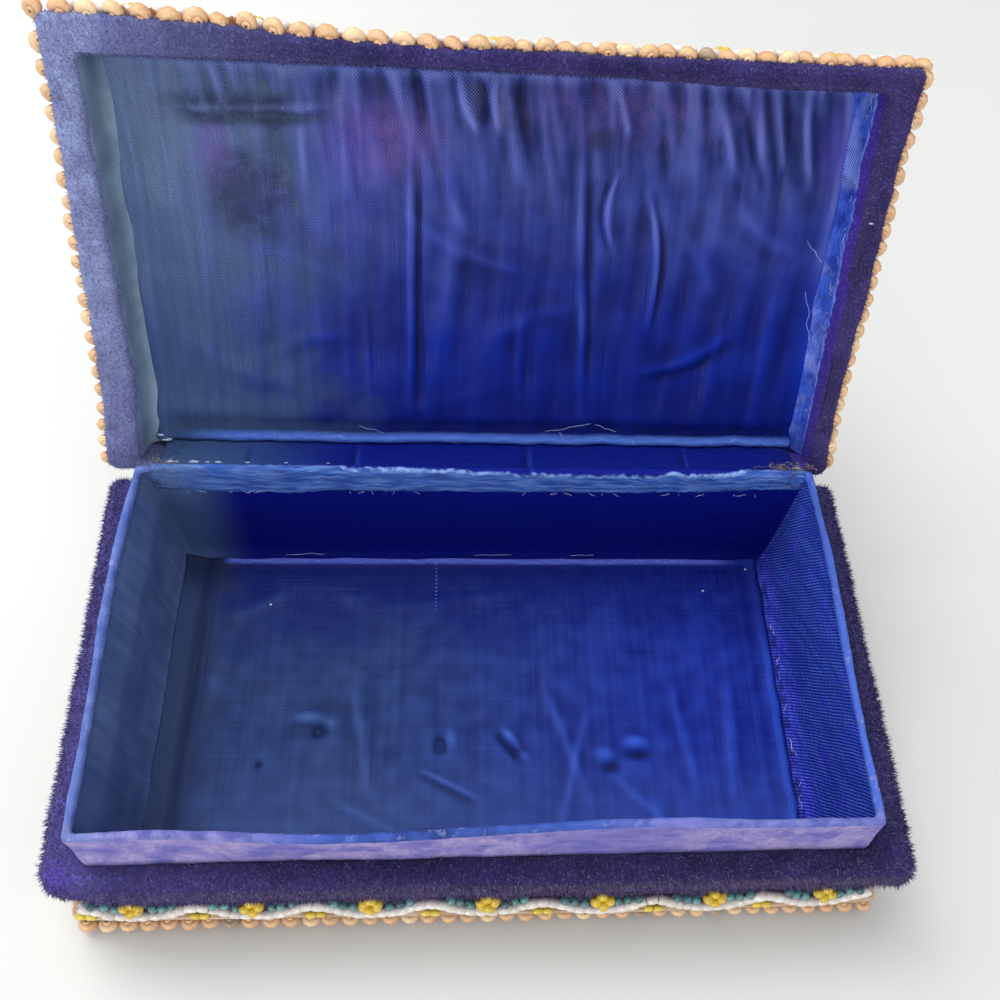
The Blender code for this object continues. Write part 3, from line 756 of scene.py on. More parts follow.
def loft(name, rings, finishes, row_finish=None, closed=False, marks=None):
    """A skin over rings of stations, capped at both ends unless it closes on itself."""
    count = len(rings[0])
    points = np.concatenate(rings)
    rows = len(rings) if closed else len(rings) - 1
    reach = np.concatenate([[0], np.cumsum(
        [np.linalg.norm(b - a, axis=1).mean() for a, b in zip(rings, rings[1:])])])
    middle = rings[len(rings) // 2]
    steps = np.linalg.norm(np.roll(middle, -1, 0) - middle, axis=1)
    run = np.concatenate([[0], np.cumsum(steps)])
    faces = band_faces(len(rings), count, closed)
    uv = []
    face_finish = []
    for row in range(rows):
        up = reach[row]
        high = reach[row + 1] if row + 1 < len(rings) else up + 1
        for left, right in zip(run, run[1:]):
            uv += [(left, up), (right, up), (right, high), (left, high)]
        face_finish += [row_finish(row) if row_finish else 0] * count
    if not closed:
        last = (len(rings) - 1) * count
        faces.append(tuple(range(count - 1, -1, -1)))
        faces.append(tuple(range(last, last + count)))
        uv += [tuple(points[i][:2]) for i in faces[-2]]
        uv += [tuple(points[i][:2]) for i in faces[-1]]
        face_finish += [face_finish[0], face_finish[-1]]
    facing = outward(middle)
    facing = np.tile(np.column_stack([facing, np.zeros(count)]), (len(rings), 1))
    values = {key: mark(points) for key, mark in (marks or {}).items()}
    return mesh_piece(name, points, faces, finishes, face_finish, uv,
                      {"facing": facing, **values})


def softened(values, reach):
    """Heights on a grid with their small folds smoothed away."""
    kernel = np.hanning(2 * reach + 3)[1:-1]
    kernel /= kernel.sum()
    out = np.pad(values, reach, mode="edge")
    out = np.apply_along_axis(np.convolve, 0, out, kernel, mode="valid")
    return np.apply_along_axis(np.convolve, 1, out, kernel, mode="valid")


def sheet_grid(name, along, across, height, finish, place, back=None, crest_gain=1):
    """A cloth laid over a grid; place turns (along, across, height) into a point.

    With a back height the cloth is closed by an edge and one flat face behind it.
    """
    heights = np.array([[height(u, v) for u in along] for v in across])
    points = [place(u, v, heights[row, step]) for row, v in enumerate(across)
              for step, u in enumerate(along)]
    wide = len(along)
    # crest: height over the smoothed cloth; the satins paint highlights on its ridges and shade in its
    # hollows
    crest = (0.5 + (heights - softened(heights, 7)) * crest_gain).ravel()
    spots = [(u, v) for v in across for u in along]
    faces = []
    for row in range(len(across) - 1):
        for step in range(wide - 1):
            a = row * wide + step
            faces.append((a, a + 1, a + wide + 1, a + wide))
    if back is not None:
        last = (len(across) - 1) * wide
        edge = list(range(wide)) + [row * wide + wide - 1 for row in range(1, len(across))]
        edge += list(range(last + wide - 2, last - 1, -1))
        edge += [row * wide for row in range(len(across) - 2, 0, -1)]
        first = len(points)
        crest = np.concatenate([crest, np.full(len(edge), 0.5)])
        points += [place(*spots[k], back) for k in edge]
        spots += [spots[k] for k in edge]
        for k, corner in enumerate(edge):
            ahead = (k + 1) % len(edge)
            faces.append((corner, first + k, first + ahead, edge[ahead]))
        faces.append(tuple(range(first + len(edge) - 1, first - 1, -1)))
    uv = [spots[corner] for face in faces for corner in face]
    return mesh_piece(name, points, faces, [finish], None, uv, {"crest": crest})


def thicken(made, thickness, offset=-1):
    """Give a sheet its thickness for good."""
    wall = made.modifiers.new("thickness", "SOLIDIFY")
    wall.thickness = thickness * TO_METRES
    wall.offset = offset
    baked = evaluated(made)
    made.modifiers.clear()
    made.data = baked
    return made


def lumps(point, grain, seed=0):
    """Smooth noise between about -1 and 1 at a point in millimetres."""
    return noise.noise(Vector((point[0] / grain + seed, point[1] / grain, point[2] / grain)))


def roughen(made, layers):
    """Push a piece's points in and out along their normals, by (depth, grain, seed)."""
    mesh = made.data
    count = len(mesh.vertices)
    points = np.empty(count * 3, np.float32)
    normals = np.empty(count * 3, np.float32)
    mesh.vertices.foreach_get("co", points)
    mesh.vertex_normals.foreach_get("vector", normals)
    points = points.reshape(count, 3)
    push = [sum(depth * lumps(point, grain, seed) for depth, grain, seed in layers)
            for point in (points * 1000).tolist()]
    points += normals.reshape(count, 3) * np.array(push, np.float32)[:, None] * TO_METRES
    mesh.vertices.foreach_set("co", points.ravel())
    mesh.update()
    return made


def crease(u, v, from_u, from_v, to_u, to_v, width, height, bow=0):
    """Height of a fold that runs from start to end, bowed sideways, dying out at both."""
    du, dv = to_u - from_u, to_v - from_v
    length = math.hypot(du, dv)
    run = ((u - from_u) * du + (v - from_v) * dv) / length
    side = ((u - from_u) * dv - (v - from_v) * du) / length
    if abs(side) > 4 * width + abs(bow) or run < -4 * width or run > length + 4 * width:
        return 0
    held = min(1, max(0, run / length))
    side -= bow * math.sin(math.pi * held)
    past = run - held * length
    fade = 1 - 0.75 * abs(2 * held - 1) ** 3
    return height * fade * math.exp(-(side * side + past * past) / (width * width))


def bell(value, middle, reach):
    return math.exp(-((value - middle) / reach) ** 2)


def smooth_step(value, low, high):
    share = min(1, max(0, (value - low) / (high - low)))
    return share * share * (3 - 2 * share)


def eased(values, low, high):
    """smooth_step over an array of values."""
    share = np.clip((values - low) / (high - low), 0, 1)
    return share * share * (3 - 2 * share)


def hump(values, middle, reach):
    """bell over an array of values."""
    return np.exp(-((values - middle) / reach) ** 2)


# Base: velvet cover and card ledge --------------------------------------------------------

LIP_HEIGHT = 5.2
LIP_SLOPE = 3
LIP_OUT_X = 2.1
LIP_OUT_Y = 0.7
LIP_ROUND = 1.6
VELVET_CORNER = 2.4
COVER_THICKNESS = 2
TRAY_CORNER = 0.9
COLLAR_SLOPE = 0.6


def front_bow(x):
    """How far the front edge of the ledge is set back from a straight line."""
    x = np.asarray(x, float)
    right = np.maximum(x - 21, 0) / 50
    left = np.maximum(21 - x, 0) / 50
    return 0.3 + 0.6 * right ** 2 + 0.5 * left + 0.35 * eased(-x, 64, 74)


def base_bow(points):
    """The cover isn't true: its front lip sags and its left side stands out at the back."""
    out = points.copy()
    x, y, z = points.T
    high = np.clip((z - 8) / 12, 0.25, 1)
    out[:, 0] -= eased(-x, 60, 71) * high * (0.2 + 0.030 * y)
    front = np.clip((-y - 37.5) / 2.5, 0, 1)
    low = np.clip((17 - z) / 2.5, 0, 1)
    out[:, 1] += front * (0.6 * low * front_bow(x) - 0.7 * hump(z, 20, 2.6))
    out[:, 1] += front * 1.4 * eased(-x, 58, 73)
    return out


def tray_outline(z, inset, corner=TRAY_CORNER, slope=0):
    """A ring round the tray at a height; its walls lean out towards the rim."""
    share = (z - TRAY_LOW[2]) / (RIM_Z - TRAY_LOW[2])
    half = TRAY_HIGH[0] - 2.6 * (1 - share)
    front = TRAY_LOW[1] + 1 * share - slope
    back = TRAY_HIGH[1] - 2.1 * (1 - share)
    return ring_of(inset - half, half - inset, front + inset, back - inset, corner, z)


def cover_ring(out_x, out_y, z, corner=VELVET_CORNER):
    return ring_of(WALLS_LOW[0] - out_x, WALLS_HIGH[0] + out_x, WALLS_LOW[1] - out_y,
                   WALLS_HIGH[1] + out_y, corner, z)


def make_velvet_cover():
    """Flange, soft lip and walls of the base, turned under at the bottom edge."""
    top = FLANGE_Z
    rings = [tray_outline(top - COVER_THICKNESS, 0, slope=COLLAR_SLOPE),
             tray_outline(top - 0.5, 0, slope=COLLAR_SLOPE),
             tray_outline(top - 0.1, -0.25, slope=COLLAR_SLOPE)]
    edge = cover_ring(-LIP_ROUND - 0.6, -LIP_ROUND - 0.6, top + 0.1, 1.2)
    rings.append(rings[-1] * 0.5 + edge * 0.5)
    rings[-1][:, 2] = top + 0.05
    rings.append(edge)
    for step in range(7):
        turn = math.radians(90 - 15 * step)
        inset = LIP_ROUND * (1 - math.cos(turn))
        rings.append(cover_ring(-inset, -inset, top - LIP_ROUND * (1 - math.sin(turn)),
                                max(1, VELVET_CORNER - inset)))
    rings.append(cover_ring(0.15, 0.25, top - LIP_HEIGHT * 0.6))
    rings.append(cover_ring(-0.15, 0.1, top - LIP_HEIGHT))
    under = top - LIP_HEIGHT - LIP_SLOPE
    rings.append(cover_ring(-LIP_OUT_X * 0.7, -LIP_OUT_Y * 0.5, under + LIP_SLOPE * 0.35))
    rings.append(cover_ring(-LIP_OUT_X, -LIP_OUT_Y, under))
    foot = WALLS_LOW[2]
    rings.append(cover_ring(-LIP_OUT_X, -LIP_OUT_Y, foot + 0.5))
    rings.append(cover_ring(-LIP_OUT_X - 0.4, -LIP_OUT_Y - 0.4, foot))
    inner = -COVER_THICKNESS
    rings.append(cover_ring(inner - LIP_OUT_X, inner - LIP_OUT_Y, foot, 1.2))
    rings.append(cover_ring(inner - LIP_OUT_X, inner - LIP_OUT_Y, top - COVER_THICKNESS, 1.2))
    rings = [base_bow(ring) for ring in filled_in(rings, 0.95)][::-1]

    def wear(points):
        return 0.08 + 0.85 * eased(-points[:, 2], -23.7, -22.4)

    # painted glare haze, strongest at the left
    def dust(points):
        return (0.40 * eased(-points[:, 0], 0, 60) + 0.55 * eased(-points[:, 0], 60, 67)
                + 0.12 * eased(points[:, 0], 66, 72))

    # painted violet sheen at the flange's front left corner
    def vivid(points):
        corner = hump(points[:, 0], -70, 2.6) * hump(points[:, 1], -38.6, 2.6)
        return 0.32 * corner * (points[:, 2] > top - 3)

    def pile(points):
        outside = (np.abs(points[:, 0]) > WALLS_HIGH[0] - LIP_OUT_X - 0.6)
        outside |= (np.abs(points[:, 1]) > WALLS_HIGH[1] - LIP_OUT_Y - 1.4)
        outside |= points[:, 2] > top - 0.4
        dense = outside & (points[:, 2] > foot + 0.3)
        return dense * (0.35 + 0.65 * (points[:, 2] > 16))

    def fringe(points):
        return (np.abs(points[:, 0]) > 72.4) & (points[:, 2] > top - 2.8)

    made = loft("velvet_cover", rings, [BASE_VELVET], closed=True,
                marks={"wear": wear, "dust": dust, "vivid": vivid, "pile": pile,
                       "fringe": fringe})
    return roughen(made, ((0.30, 5, 3), (0.16, 1.3, 9)))


def make_card_ledge():
    """A ring of layered card under the walls, its front edge bowed."""
    def ring(inset, z):
        made = ring_of(LEDGE_LOW[0] + inset, LEDGE_HIGH[0] - inset, LEDGE_LOW[1] + inset,
                       LEDGE_HIGH[1] - inset, 1.4, z)
        front = np.clip((-made[:, 1] - 36) / 4, 0, 1)
        made[:, 1] += front * front_bow(made[:, 0])
        return made

    low, high = LEDGE_LOW[2], LEDGE_HIGH[2]
    rings = [ring(0.3, low), ring(0, low + 0.35), ring(0.12, low + 0.8), ring(0, high - 0.35),
             ring(0.25, high), ring(4.5, high), ring(4.5, low)]
    made = loft("card_ledge_edge", rings, [CARD], closed=True)
    return roughen(made, ((0.08, 3, 21), (0.05, 0.7, 23)))


# Tray -----------------------------------------------------------------------------------

RIM_ROUND = 0.65
WALL_FOLD = 0.6


def rim_drift(points):
    """Bows and dips of the tray's rim, growing from the flange up."""
    out = points.copy()
    high = np.clip((out[:, 2] - FLANGE_Z) / (RIM_Z - FLANGE_Z), 0, 1)
    x, y = out[:, 0].copy(), out[:, 1].copy()
    front = np.clip((-y - 31) / 2.5, 0, 1) * high
    wave = (0.55 * hump(x, -53, 13) - 0.75 * hump(x, -24, 17)
            + 0.9 * hump(x, 26, 20) + 0.35 * hump(x, 62, 12))
    out[:, 1] += front * (wave + 0.45)
    out[:, 2] += front * (0.25 * wave)
    left = np.clip((-x - 62) / 2.5, 0, 1) * high
    out[:, 0] -= left * (0.9 + 1.5 * hump(y, 14, 24))
    right = np.clip((x - 62) / 2.5, 0, 1) * high
    out[:, 0] += right * (0.9 * hump(y, 18, 20) - 0.2)
    out[:, 1] += np.clip((y - 33) / 2.5, 0, 1) * high * 0.4
    return out


def make_tray():
    """Covered card tray: collar outside, turned-over rim, and lined walls inside."""
    slope = COLLAR_SLOPE
    rings = [tray_outline(TRAY_LOW[2], 0),
             tray_outline(FLANGE_Z - 1.8, 0.05, slope=slope),
             tray_outline(FLANGE_Z + 0.4, -0.05, slope=slope),
             tray_outline(RIM_Z - 3.4, 0.05, slope=slope * 0.40),
             tray_outline(RIM_Z - RIM_ROUND - 0.1, -0.05, slope=0.1)]
    rings = filled_in(rings, 1)
    outside_rows = len(rings) - 2
    for step in range(1, 8):
        turn = math.radians(180 * step / 8)
        rings.append(tray_outline(RIM_Z - RIM_ROUND * (1 - math.sin(turn)),
                                  RIM_ROUND * (1 - math.cos(turn))))
    inner = 2 * RIM_ROUND
    rings.append(tray_outline(RIM_Z - WALL_FOLD - 0.35, inner + 0.03))
    rim_rows = len(rings) - 1
    wall = [rings[-1], tray_outline(RIM_Z - WALL_FOLD - 0.6, inner - 0.08),
            tray_outline(16, inner)]
    for drop, tuck in ((9.5, 0.5), (7.6, 1.1), (6.4, 2.2), (5.6, 3.6)):
        wall.append(tray_outline(drop, inner + tuck))
    rings += filled_in(wall, 1.1)[1:]
    rings = [rim_drift(ring) for ring in rings]

    def row_finish(row):
        if row <= outside_rows:
            return 0
        return 1 if row < rim_rows else 2

    made = loft("tray_lining", rings, [COLLAR, BINDING, WALL_SATIN], row_finish)
    return roughen(made, ((0.20, 8, 1), (0.09, 1.6, 5)))


FLOOR_LEFT, FLOOR_RIGHT = -62.4, 60.6
FLOOR_FRONT, FLOOR_BACK = -33.4, 32.8
FLOOR_FURROW = -57.7
CURL_RISE = 1.5
FLOOR_DENTS = (  # middle, reach, depth
    ((-32.1, -7), (2, 1.4), -0.50), ((-34.4, -4.1), (2.8, 1.3), 0.60),
    ((-30, -5.6), (1.4, 1.6), 0.35), ((-8.8, -10), (1.3, 1.9), -0.60),
    ((-6.8, -8.8), (1.3, 1.9), 0.55), ((4.5, -8.5), (1.2, 1.2), 0.45),
    ((6.8, -11.2), (1.6, 1.2), -0.55), ((24.7, -15.1), (1.8, 1.4), -0.50),
    ((23.4, -12.6), (2, 1.5), 0.60), ((29.6, -10), (2.2, 1.4), 0.80),
    ((30.2, -12.6), (2.6, 1.2), -0.55), ((-43.2, -13.5), (0.8, 0.8), -0.40),
    ((33, -24), (1.6, 3), 0.35))
FLOOR_FOLDS = (  # start, end, each as two numbers, width, height
    (3.4, -6.6, 8.4, -13.2, 0.6, 0.50), (2, -7.6, 7, -14.2, 0.6, -0.45),
    (-12.6, -14.9, -1.1, -21, 0.5, 0.42), (-13, -16, -2, -22, 0.5, -0.30),
    (-26, 2, -22, -20, 1.2, 0.30), (12, 2, 20, -22, 1.1, 0.34),
    (38, 2, 41, -20, 1.1, 0.32), (20, -4, 14, -28, 0.9, 0.30),
    (-52, 18, -40, 24, 1.8, 0.35), (-55, -6, -52, 14, 2, 0.40),
    (48, -22, 50, 4, 1.4, 0.32), (-30, -20, -10, -31, 1, 0.30),
    (24, -16, 38, -30, 0.9, 0.30), (-20, 20, 10, 24, 1.6, 0.25))


def floor_height(x, y):
    """How far the floor cover stands over its board."""
    height = 0.35 + 0.26 * lumps((x, y, 0), 15, 2) + 0.15 * lumps((x, y, 0), 4, 7)
    for middle, reach, depth in FLOOR_DENTS:
        height += depth * bell(x, middle[0], reach[0]) * bell(y, middle[1], reach[1])
    for fold in FLOOR_FOLDS:
        height += crease(x, y, *fold)
    height += 0.65 * bell(y, FLOOR_BACK - 1.1, 0.9) + 0.35 * bell(x, FLOOR_RIGHT - 1.2, 1.2)
    height -= 0.15 * bell(x, FLOOR_FURROW + 0.2 * lumps((0, y, 0), 6, 8), 1.1)
    curl = smooth_step(-x, -FLOOR_FURROW, -FLOOR_LEFT + 0.6) ** 1.4
    ragged = 0.35 * lumps((0, y, 0), 7, 4.5) + 0.12 * lumps((0, y, 0), 1.3, 4.9)
    height += curl * (CURL_RISE + ragged * 1.2)
    away = min(FLOOR_RIGHT - x, y - FLOOR_FRONT, FLOOR_BACK - y)
    return height - 1.1 * (1 - smooth_step(away, 0, 1.2)) ** 2


def make_floor_cover():
    """Satin over the tray's floor board, tucked down all round but curled up at the left."""
    along = np.linspace(FLOOR_LEFT, FLOOR_RIGHT, 228)
    across = np.linspace(FLOOR_FRONT, FLOOR_BACK, 130)

    def place(x, y, height):
        y += 0.4 * lumps((x, 0, 0), 11, 6) * abs(y / FLOOR_BACK) ** 8
        if x > 0:
            x += 0.5 * lumps((0, y, 0), 5, 4) * abs(x / FLOOR_RIGHT) ** 8
        return x, y, FLOOR_Z + height

    return sheet_grid("tray_floor_satin", along, across, floor_height, FLOOR_SATIN, place,
                      back=-0.15, crest_gain=1.6)


# Lid ------------------------------------------------------------------------------------

LID_CORNER = 1.8
BRIM_OUT = 1.4
BRIM_HEIGHT = 1.8
CROWN_RISE = 1.2
LID_TOP = LID_HIGH[2] - CROWN_RISE
RECESS_Z = MOUTH_Z + 10
RECESS = (-68.2, 68.2, -37.2, 39)


def lid_bow(points):
    """The lid has warped: its free edge runs out at the left and its sides have drifted."""
    out = points.copy()
    x, y = points[:, 0], points[:, 1]
    free = np.clip((-y - 37.6) / 3, 0, 1)
    out[:, 1] += free * (1.4 - 2.7 * eased(-x, 10, 65))
    left = np.clip((-x - 68.2) / 1.8, 0, 1)
    out[:, 0] += left * (0.95 - 0.0200 * (y + 41) - 0.65 * hump(y, -41, 6))
    right = np.clip((x - 68.4) / 1.8, 0, 1)
    out[:, 0] += right * (1.6 * hump(y, -42, 14) + 0.5 * hump(y, 40, 6) - 1.8)
    deep = np.clip((points[:, 2] - MOUTH_Z) / 5, 0, 1) * (x < 69.5)
    flare = np.clip((x - 66.4) / 1.2, 0, 1) * (1 - deep)
    out[:, 0] += flare * 1.15 * eased(-y, -22, 10)
    lip = hump(y, -37, 1.1) * np.clip((MOUTH_Z + 1.6 - points[:, 2]) / 1.2, 0, 1)
    out[:, 1] += lip * 1.2 * eased(x, -10, 55) * (x < 70)
    out[:, 0] -= np.clip(-x / 66, 0, 1) ** 4 * 1.2 * eased(y, 20, 40)
    return out


def on_lid(x, y, z):
    """Where a point of the straight, closed lid really lies: bent, and swung open."""
    return opened(lid_bow(np.array([[x, y, z]], float)))[0]


def lid_ring(out_x, out_y, z, corner=LID_CORNER, back=0):
    return ring_of(LID_LOW[0] - out_x, LID_HIGH[0] + out_x, LID_LOW[1] - out_y,
                   LID_HIGH[1] + back, corner, z)


def recess_ring(inset, z, corner=1.2):
    return ring_of(RECESS[0] + inset, RECESS[1] - inset, RECESS[2] + inset,
                   RECESS[3] - min(inset, 0), corner, z)


def make_lid_velvet():
    """The lid's velvet: recess, rolled mouth, brim, sides and crowned top."""
    rings = [recess_ring(0.7, RECESS_Z), recess_ring(0.55, MOUTH_Z + 4),
             recess_ring(0.35, MOUTH_Z + 1.2), recess_ring(0, MOUTH_Z + 0.45),
             recess_ring(-0.7, MOUTH_Z + 0.05, 1.4)]
    rings.append(lid_ring(-2, -2, MOUTH_Z - 0.1, 1.2, -0.7))
    for step in range(5):
        turn = math.radians(90 - 22.5 * step)
        inset = 1 - math.cos(turn)
        rings.append(lid_ring(-inset, -inset, MOUTH_Z + 1 - math.sin(turn), LID_CORNER,
                              -0.4 * inset))
    rings.append(lid_ring(0, 0, MOUTH_Z + BRIM_HEIGHT))
    rings.append(lid_ring(-BRIM_OUT, -BRIM_OUT, MOUTH_Z + BRIM_HEIGHT * 1.5))
    rings.append(lid_ring(-BRIM_OUT, -BRIM_OUT, LID_TOP - 1.4))
    for step in range(1, 5):
        turn = math.radians(22.5 * step)
        inset = 1.4 * (1 - math.cos(turn))
        rings.append(lid_ring(-BRIM_OUT - inset, -BRIM_OUT - inset,
                              LID_TOP - 1.4 * (1 - math.sin(turn)), 1.8, -inset))
    for inset, rise in ((4, 0.35), (10, 0.95), (18, CROWN_RISE)):
        rings.append(lid_ring(-BRIM_OUT - inset, -BRIM_OUT - inset, LID_TOP + rise, 1.8,
                              -inset))
    rings.append(lid_ring(-41, -39.8, LID_TOP + CROWN_RISE, 0.2, -39.8))
    rings = [lid_bow(ring) for ring in filled_in(rings, 1.1)]

    def shut(points):
        return swing(points, OPEN_ANGLE)

    def wear(points):
        closed = shut(points)
        edge = hump(closed[:, 2], MOUTH_Z + 1.4, 1.6)
        ridge = hump(closed[:, 2], LID_TOP - 0.4, 1.8)
        top = 0.12 * (closed[:, 2] > LID_TOP)
        inside = np.abs(closed[:, 0]) < RECESS[1]
        return 0.06 + (0.25 * edge * ~inside + 0.55 * ridge + top)

    # painted glare haze, strongest at the left and higher up, weaker towards the hinge
    def dust(points):
        x = points[:, 0]
        high = 0.55 + 0.45 * eased(points[:, 2], 28, 70)
        return (0.45 * eased(-x, 15, 62) + 0.50 * eased(-x, 61, 67.5)) * high

    # painted violet sheen on the recess's right wall
    def vivid(points):
        closed = shut(points)
        deep = eased(closed[:, 2], MOUTH_Z + 0.3, MOUTH_Z + 1.2)
        wall = (closed[:, 0] > 66) & (closed[:, 0] < RECESS[1] + 0.4)
        return 0.85 * deep * wall * (closed[:, 2] < RECESS_Z + 0.3)

    def pile(points):
        closed = shut(points)
        inside = (np.abs(closed[:, 0]) < RECESS[1] - 0.2) & (closed[:, 1] > RECESS[2] + 0.2)
        inside &= (closed[:, 1] < RECESS[3] - 0.2) & (closed[:, 2] < RECESS_Z + 0.5)
        return ~(inside & (closed[:, 2] > MOUTH_Z + 3.2)) & (closed[:, 2] < LID_TOP - 0.2)

    def top_pile(points):
        return shut(points)[:, 2] > LID_TOP - 0.4

    made = loft("lid_velvet", [opened(ring) for ring in rings], [LID_VELVET],
                marks={"wear": wear, "dust": dust, "vivid": vivid, "pile": pile,
                       "top_pile": top_pile})
    return roughen(made, ((0.32, 6, 12), (0.16, 1.3, 19)))


LINING_LEFT, LINING_RIGHT = -66.8, 66.4
LINING_NEAR, LINING_FAR = 2.9, 77.9
LINING_FOLDS = (  # start, end, each as two numbers, width, height, bow; along the lid and up from the hinge
    (-54, 69.2, -28.4, 70.2, 0.9, 0.80, 0), (-54, 67.4, -29, 68.4, 0.9, -0.60, 0),
    (-5.6, 76, -2.6, 67, 0.8, 0.95, 0.6), (0.4, 76, 1.4, 67, 0.7, 0.80, 0.5),
    (-2.2, 76, -0.8, 69, 0.8, -0.60, 0), (4.4, 75, 6, 66, 1, -0.55, 0),
    (23.4, 60.8, 23.6, 45.7, 0.6, 0.65, 1.6), (22.4, 60, 22.6, 46, 0.6, -0.45, 1.6),
    (29.4, 57.3, 31.7, 29.5, 0.6, 0.60, -1.8), (30.6, 57, 32.8, 30, 0.6, -0.45, -1.8),
    (-14.4, 71.6, -15.7, 6, 0.8, 0.50, 0), (-12.8, 72, -13.8, 10, 0.7, -0.45, 0),
    (15.6, 72.7, 20.1, 6.5, 0.8, 0.45, 0), (17.2, 72, 21.4, 12, 0.7, -0.38, 0),
    (-26.5, 76, -26, 55, 1, 0.70, 0), (-22.6, 76, -22, 58, 0.9, -0.60, 0),
    (-33, 75, -34, 52, 1, 0.45, 0), (-30, 76, -29, 60, 0.8, -0.45, 0),
    (-16.6, 52.1, 8, 41.3, 1.5, 0.30, 2), (-50, 46, -22, 34, 1.9, 0.30, -2.5),
    (31.6, 20.7, 49.1, 29.9, 1.5, 0.50, 1.5), (33, 18.6, 50, 27.2, 1.3, -0.34, 1.5),
    (-60, 28, -40, 16, 2.2, 0.34, 2), (-44, 22, -26, 28, 1.7, 0.30, -1.6),
    (-20, 12, 4, 18, 1.9, 0.28, 2), (2, 28, 16, 34, 1.7, 0.28, -1.4),
    (40, 75, 46, 60, 1.1, 0.60, 0), (44, 75, 51, 58, 0.9, -0.50, 0),
    (56, 74, 60, 58, 1, 0.60, 0), (51, 75, 54, 62, 0.8, 0.45, 0),
    (-63, 68, -62.5, 47, 0.7, 0.70, 0), (-61.8, 68, -61.4, 46, 0.7, -0.5, 0),
    (22, 76, 25, 67, 0.8, 0.70, 0), (31, 76, 33, 64, 0.9, 0.55, 0),
    (46, 12, 46.6, 36, 0.8, 0.30, 0), (56, 8, 56.8, 44, 0.8, 0.32, 0),
    (36, 6, 38, 26, 0.8, 0.26, 0), (-24, 34, -23.6, 6, 0.8, 0.32, 0),
    (-36, 30, -35, 6, 0.8, 0.30, 0), (6, 36, 7, 6, 0.7, 0.30, 0),
    (70.4, 73.5, 66, 64, 0.8, 0.60, 0), (-8, 62, -4, 48, 1.4, 0.32, 1.2),
    (46, 56, 60, 46, 1.8, 0.36, 1.6), (36, 50, 44, 36, 1.7, 0.30, -1.4))


def lining_height(x, up):
    """How far the lining stands off the lid's board towards its mouth."""
    height = 0.9 + 0.50 * lumps((x, up, 0), 22, 31) + 0.26 * lumps((x, up, 0), 7, 37)
    gather = smooth_step(up, 46, 76)
    slant = x + 0.14 * (up - 60)
    height += 1.25 * gather * lumps((slant, up * 0.16, 0), 4.4, 41)
    height += 0.50 * gather * lumps((slant, up * 0.12, 0), 1.7, 45)
    height += 0.42 * (1 - gather) * lumps((x - 0.1 * up, up * 0.10, 9), 3.4, 47)
    for fold in LINING_FOLDS:
        height += crease(x, up, *fold)
    height += 1.1 * bell(up, LINING_NEAR + 1.5, 0.9)
    height -= 0.35 * bell(x, -62.6, 0.8) + 0.30 * bell(up, 7.6, 1.2)
    height += 0.7 * bell(x, LINING_LEFT + 2.2, 1.2) * bell(up, 7, 5)
    away = min(x - LINING_LEFT, LINING_RIGHT - x, (up - LINING_NEAR) * 1.5, LINING_FAR - up)
    return height - 1.5 * (1 - smooth_step(away, 0, 1.4)) ** 2


def lid_place(x, up, height):
    """A point in the lid: across, up from the hinge, and out from the lining's board."""
    return tuple(on_lid(x, HINGE[1] - up, LINING_Z - height))


def make_lid_lining():
    along = np.linspace(LINING_LEFT, LINING_RIGHT, 250)
    across = np.linspace(LINING_NEAR, LINING_FAR, 150)
    return sheet_grid("lid_lining_satin", along, across, lining_height, LINING_SATIN,
                      lid_place, back=-0.6, crest_gain=1.2)


STRIP_PROFILE = {-1: ((-0.6, 1), (0.1, 2.4), (0.4, 5.6), (1.5, 7.7), (4.8, 8.6)),
                 1: ((0, 4.3), (0.3, 5.6), (0.9, 7), (2.2, 8.1), (4.6, 8.6))}


def make_recess_strips():
    """Cut strips of satin glued down both sides of the recess, over the lining's edges."""
    parts = []
    run = np.linspace(RECESS[2] + 0.9, RECESS[3] - 0.6, 190)
    for side in (-1, 1):
        edge = 67.75 if side > 0 else 67.9
        profile = smooth_path(STRIP_PROFILE[side], 3)
        across = np.concatenate([[0], np.cumsum(np.linalg.norm(np.diff(profile, axis=0),
                                                                 axis=1))])

        def place(y, v, height):
            inset, drop = (np.interp(v, across, profile[:, k]) for k in (0, 1))
            cut = max(0, 1 - v)
            drop += cut * (0.9 * lumps((side, y, 0), 9, 51)
                           + 0.7 * lumps((side, y, 0), 1.1, 53))
            inset += max(0, v - across[-1] + 2.5) * 0.5 * lumps((side, y, 3), 7, 55)
            return tuple(on_lid(side * (edge - inset - height), y, MOUTH_Z + drop))

        def height(y, v):
            return 0.15 + 0.16 * lumps((side, y, v), 3, 61) + 0.08 * lumps((side, y, v), 0.8, 63)

        steps = run if side > 0 else run[::-1]
        part = sheet_grid("strip", steps, across, height, STRIP, place)
        parts.append(thicken(part, 0.25, 0))
    return joined("recess_strips", parts)


# Hinge cloth ----------------------------------------------------------------------------

TAPE_HALF = 65.2
TAPE_DROP = 5.7
TAPE_LEAN = 0.072


def smooth_path(points, steps):
    """A Catmull-Rom curve through flat points, cut into even shares."""
    padded = np.array([points[0]] + list(points) + [points[-1]], float)
    out = []
    for k in range(1, len(padded) - 2):
        a, b, c, d = padded[k - 1:k + 3]
        for step in range(steps):
            t = step / steps
            out.append(0.5 * (2 * b + (c - a) * t + (2 * a - 5 * b + 4 * c - d) * t * t
                              + (3 * b - a - 3 * c + d) * t ** 3))
    out.append(padded[-2])
    return np.array(out)


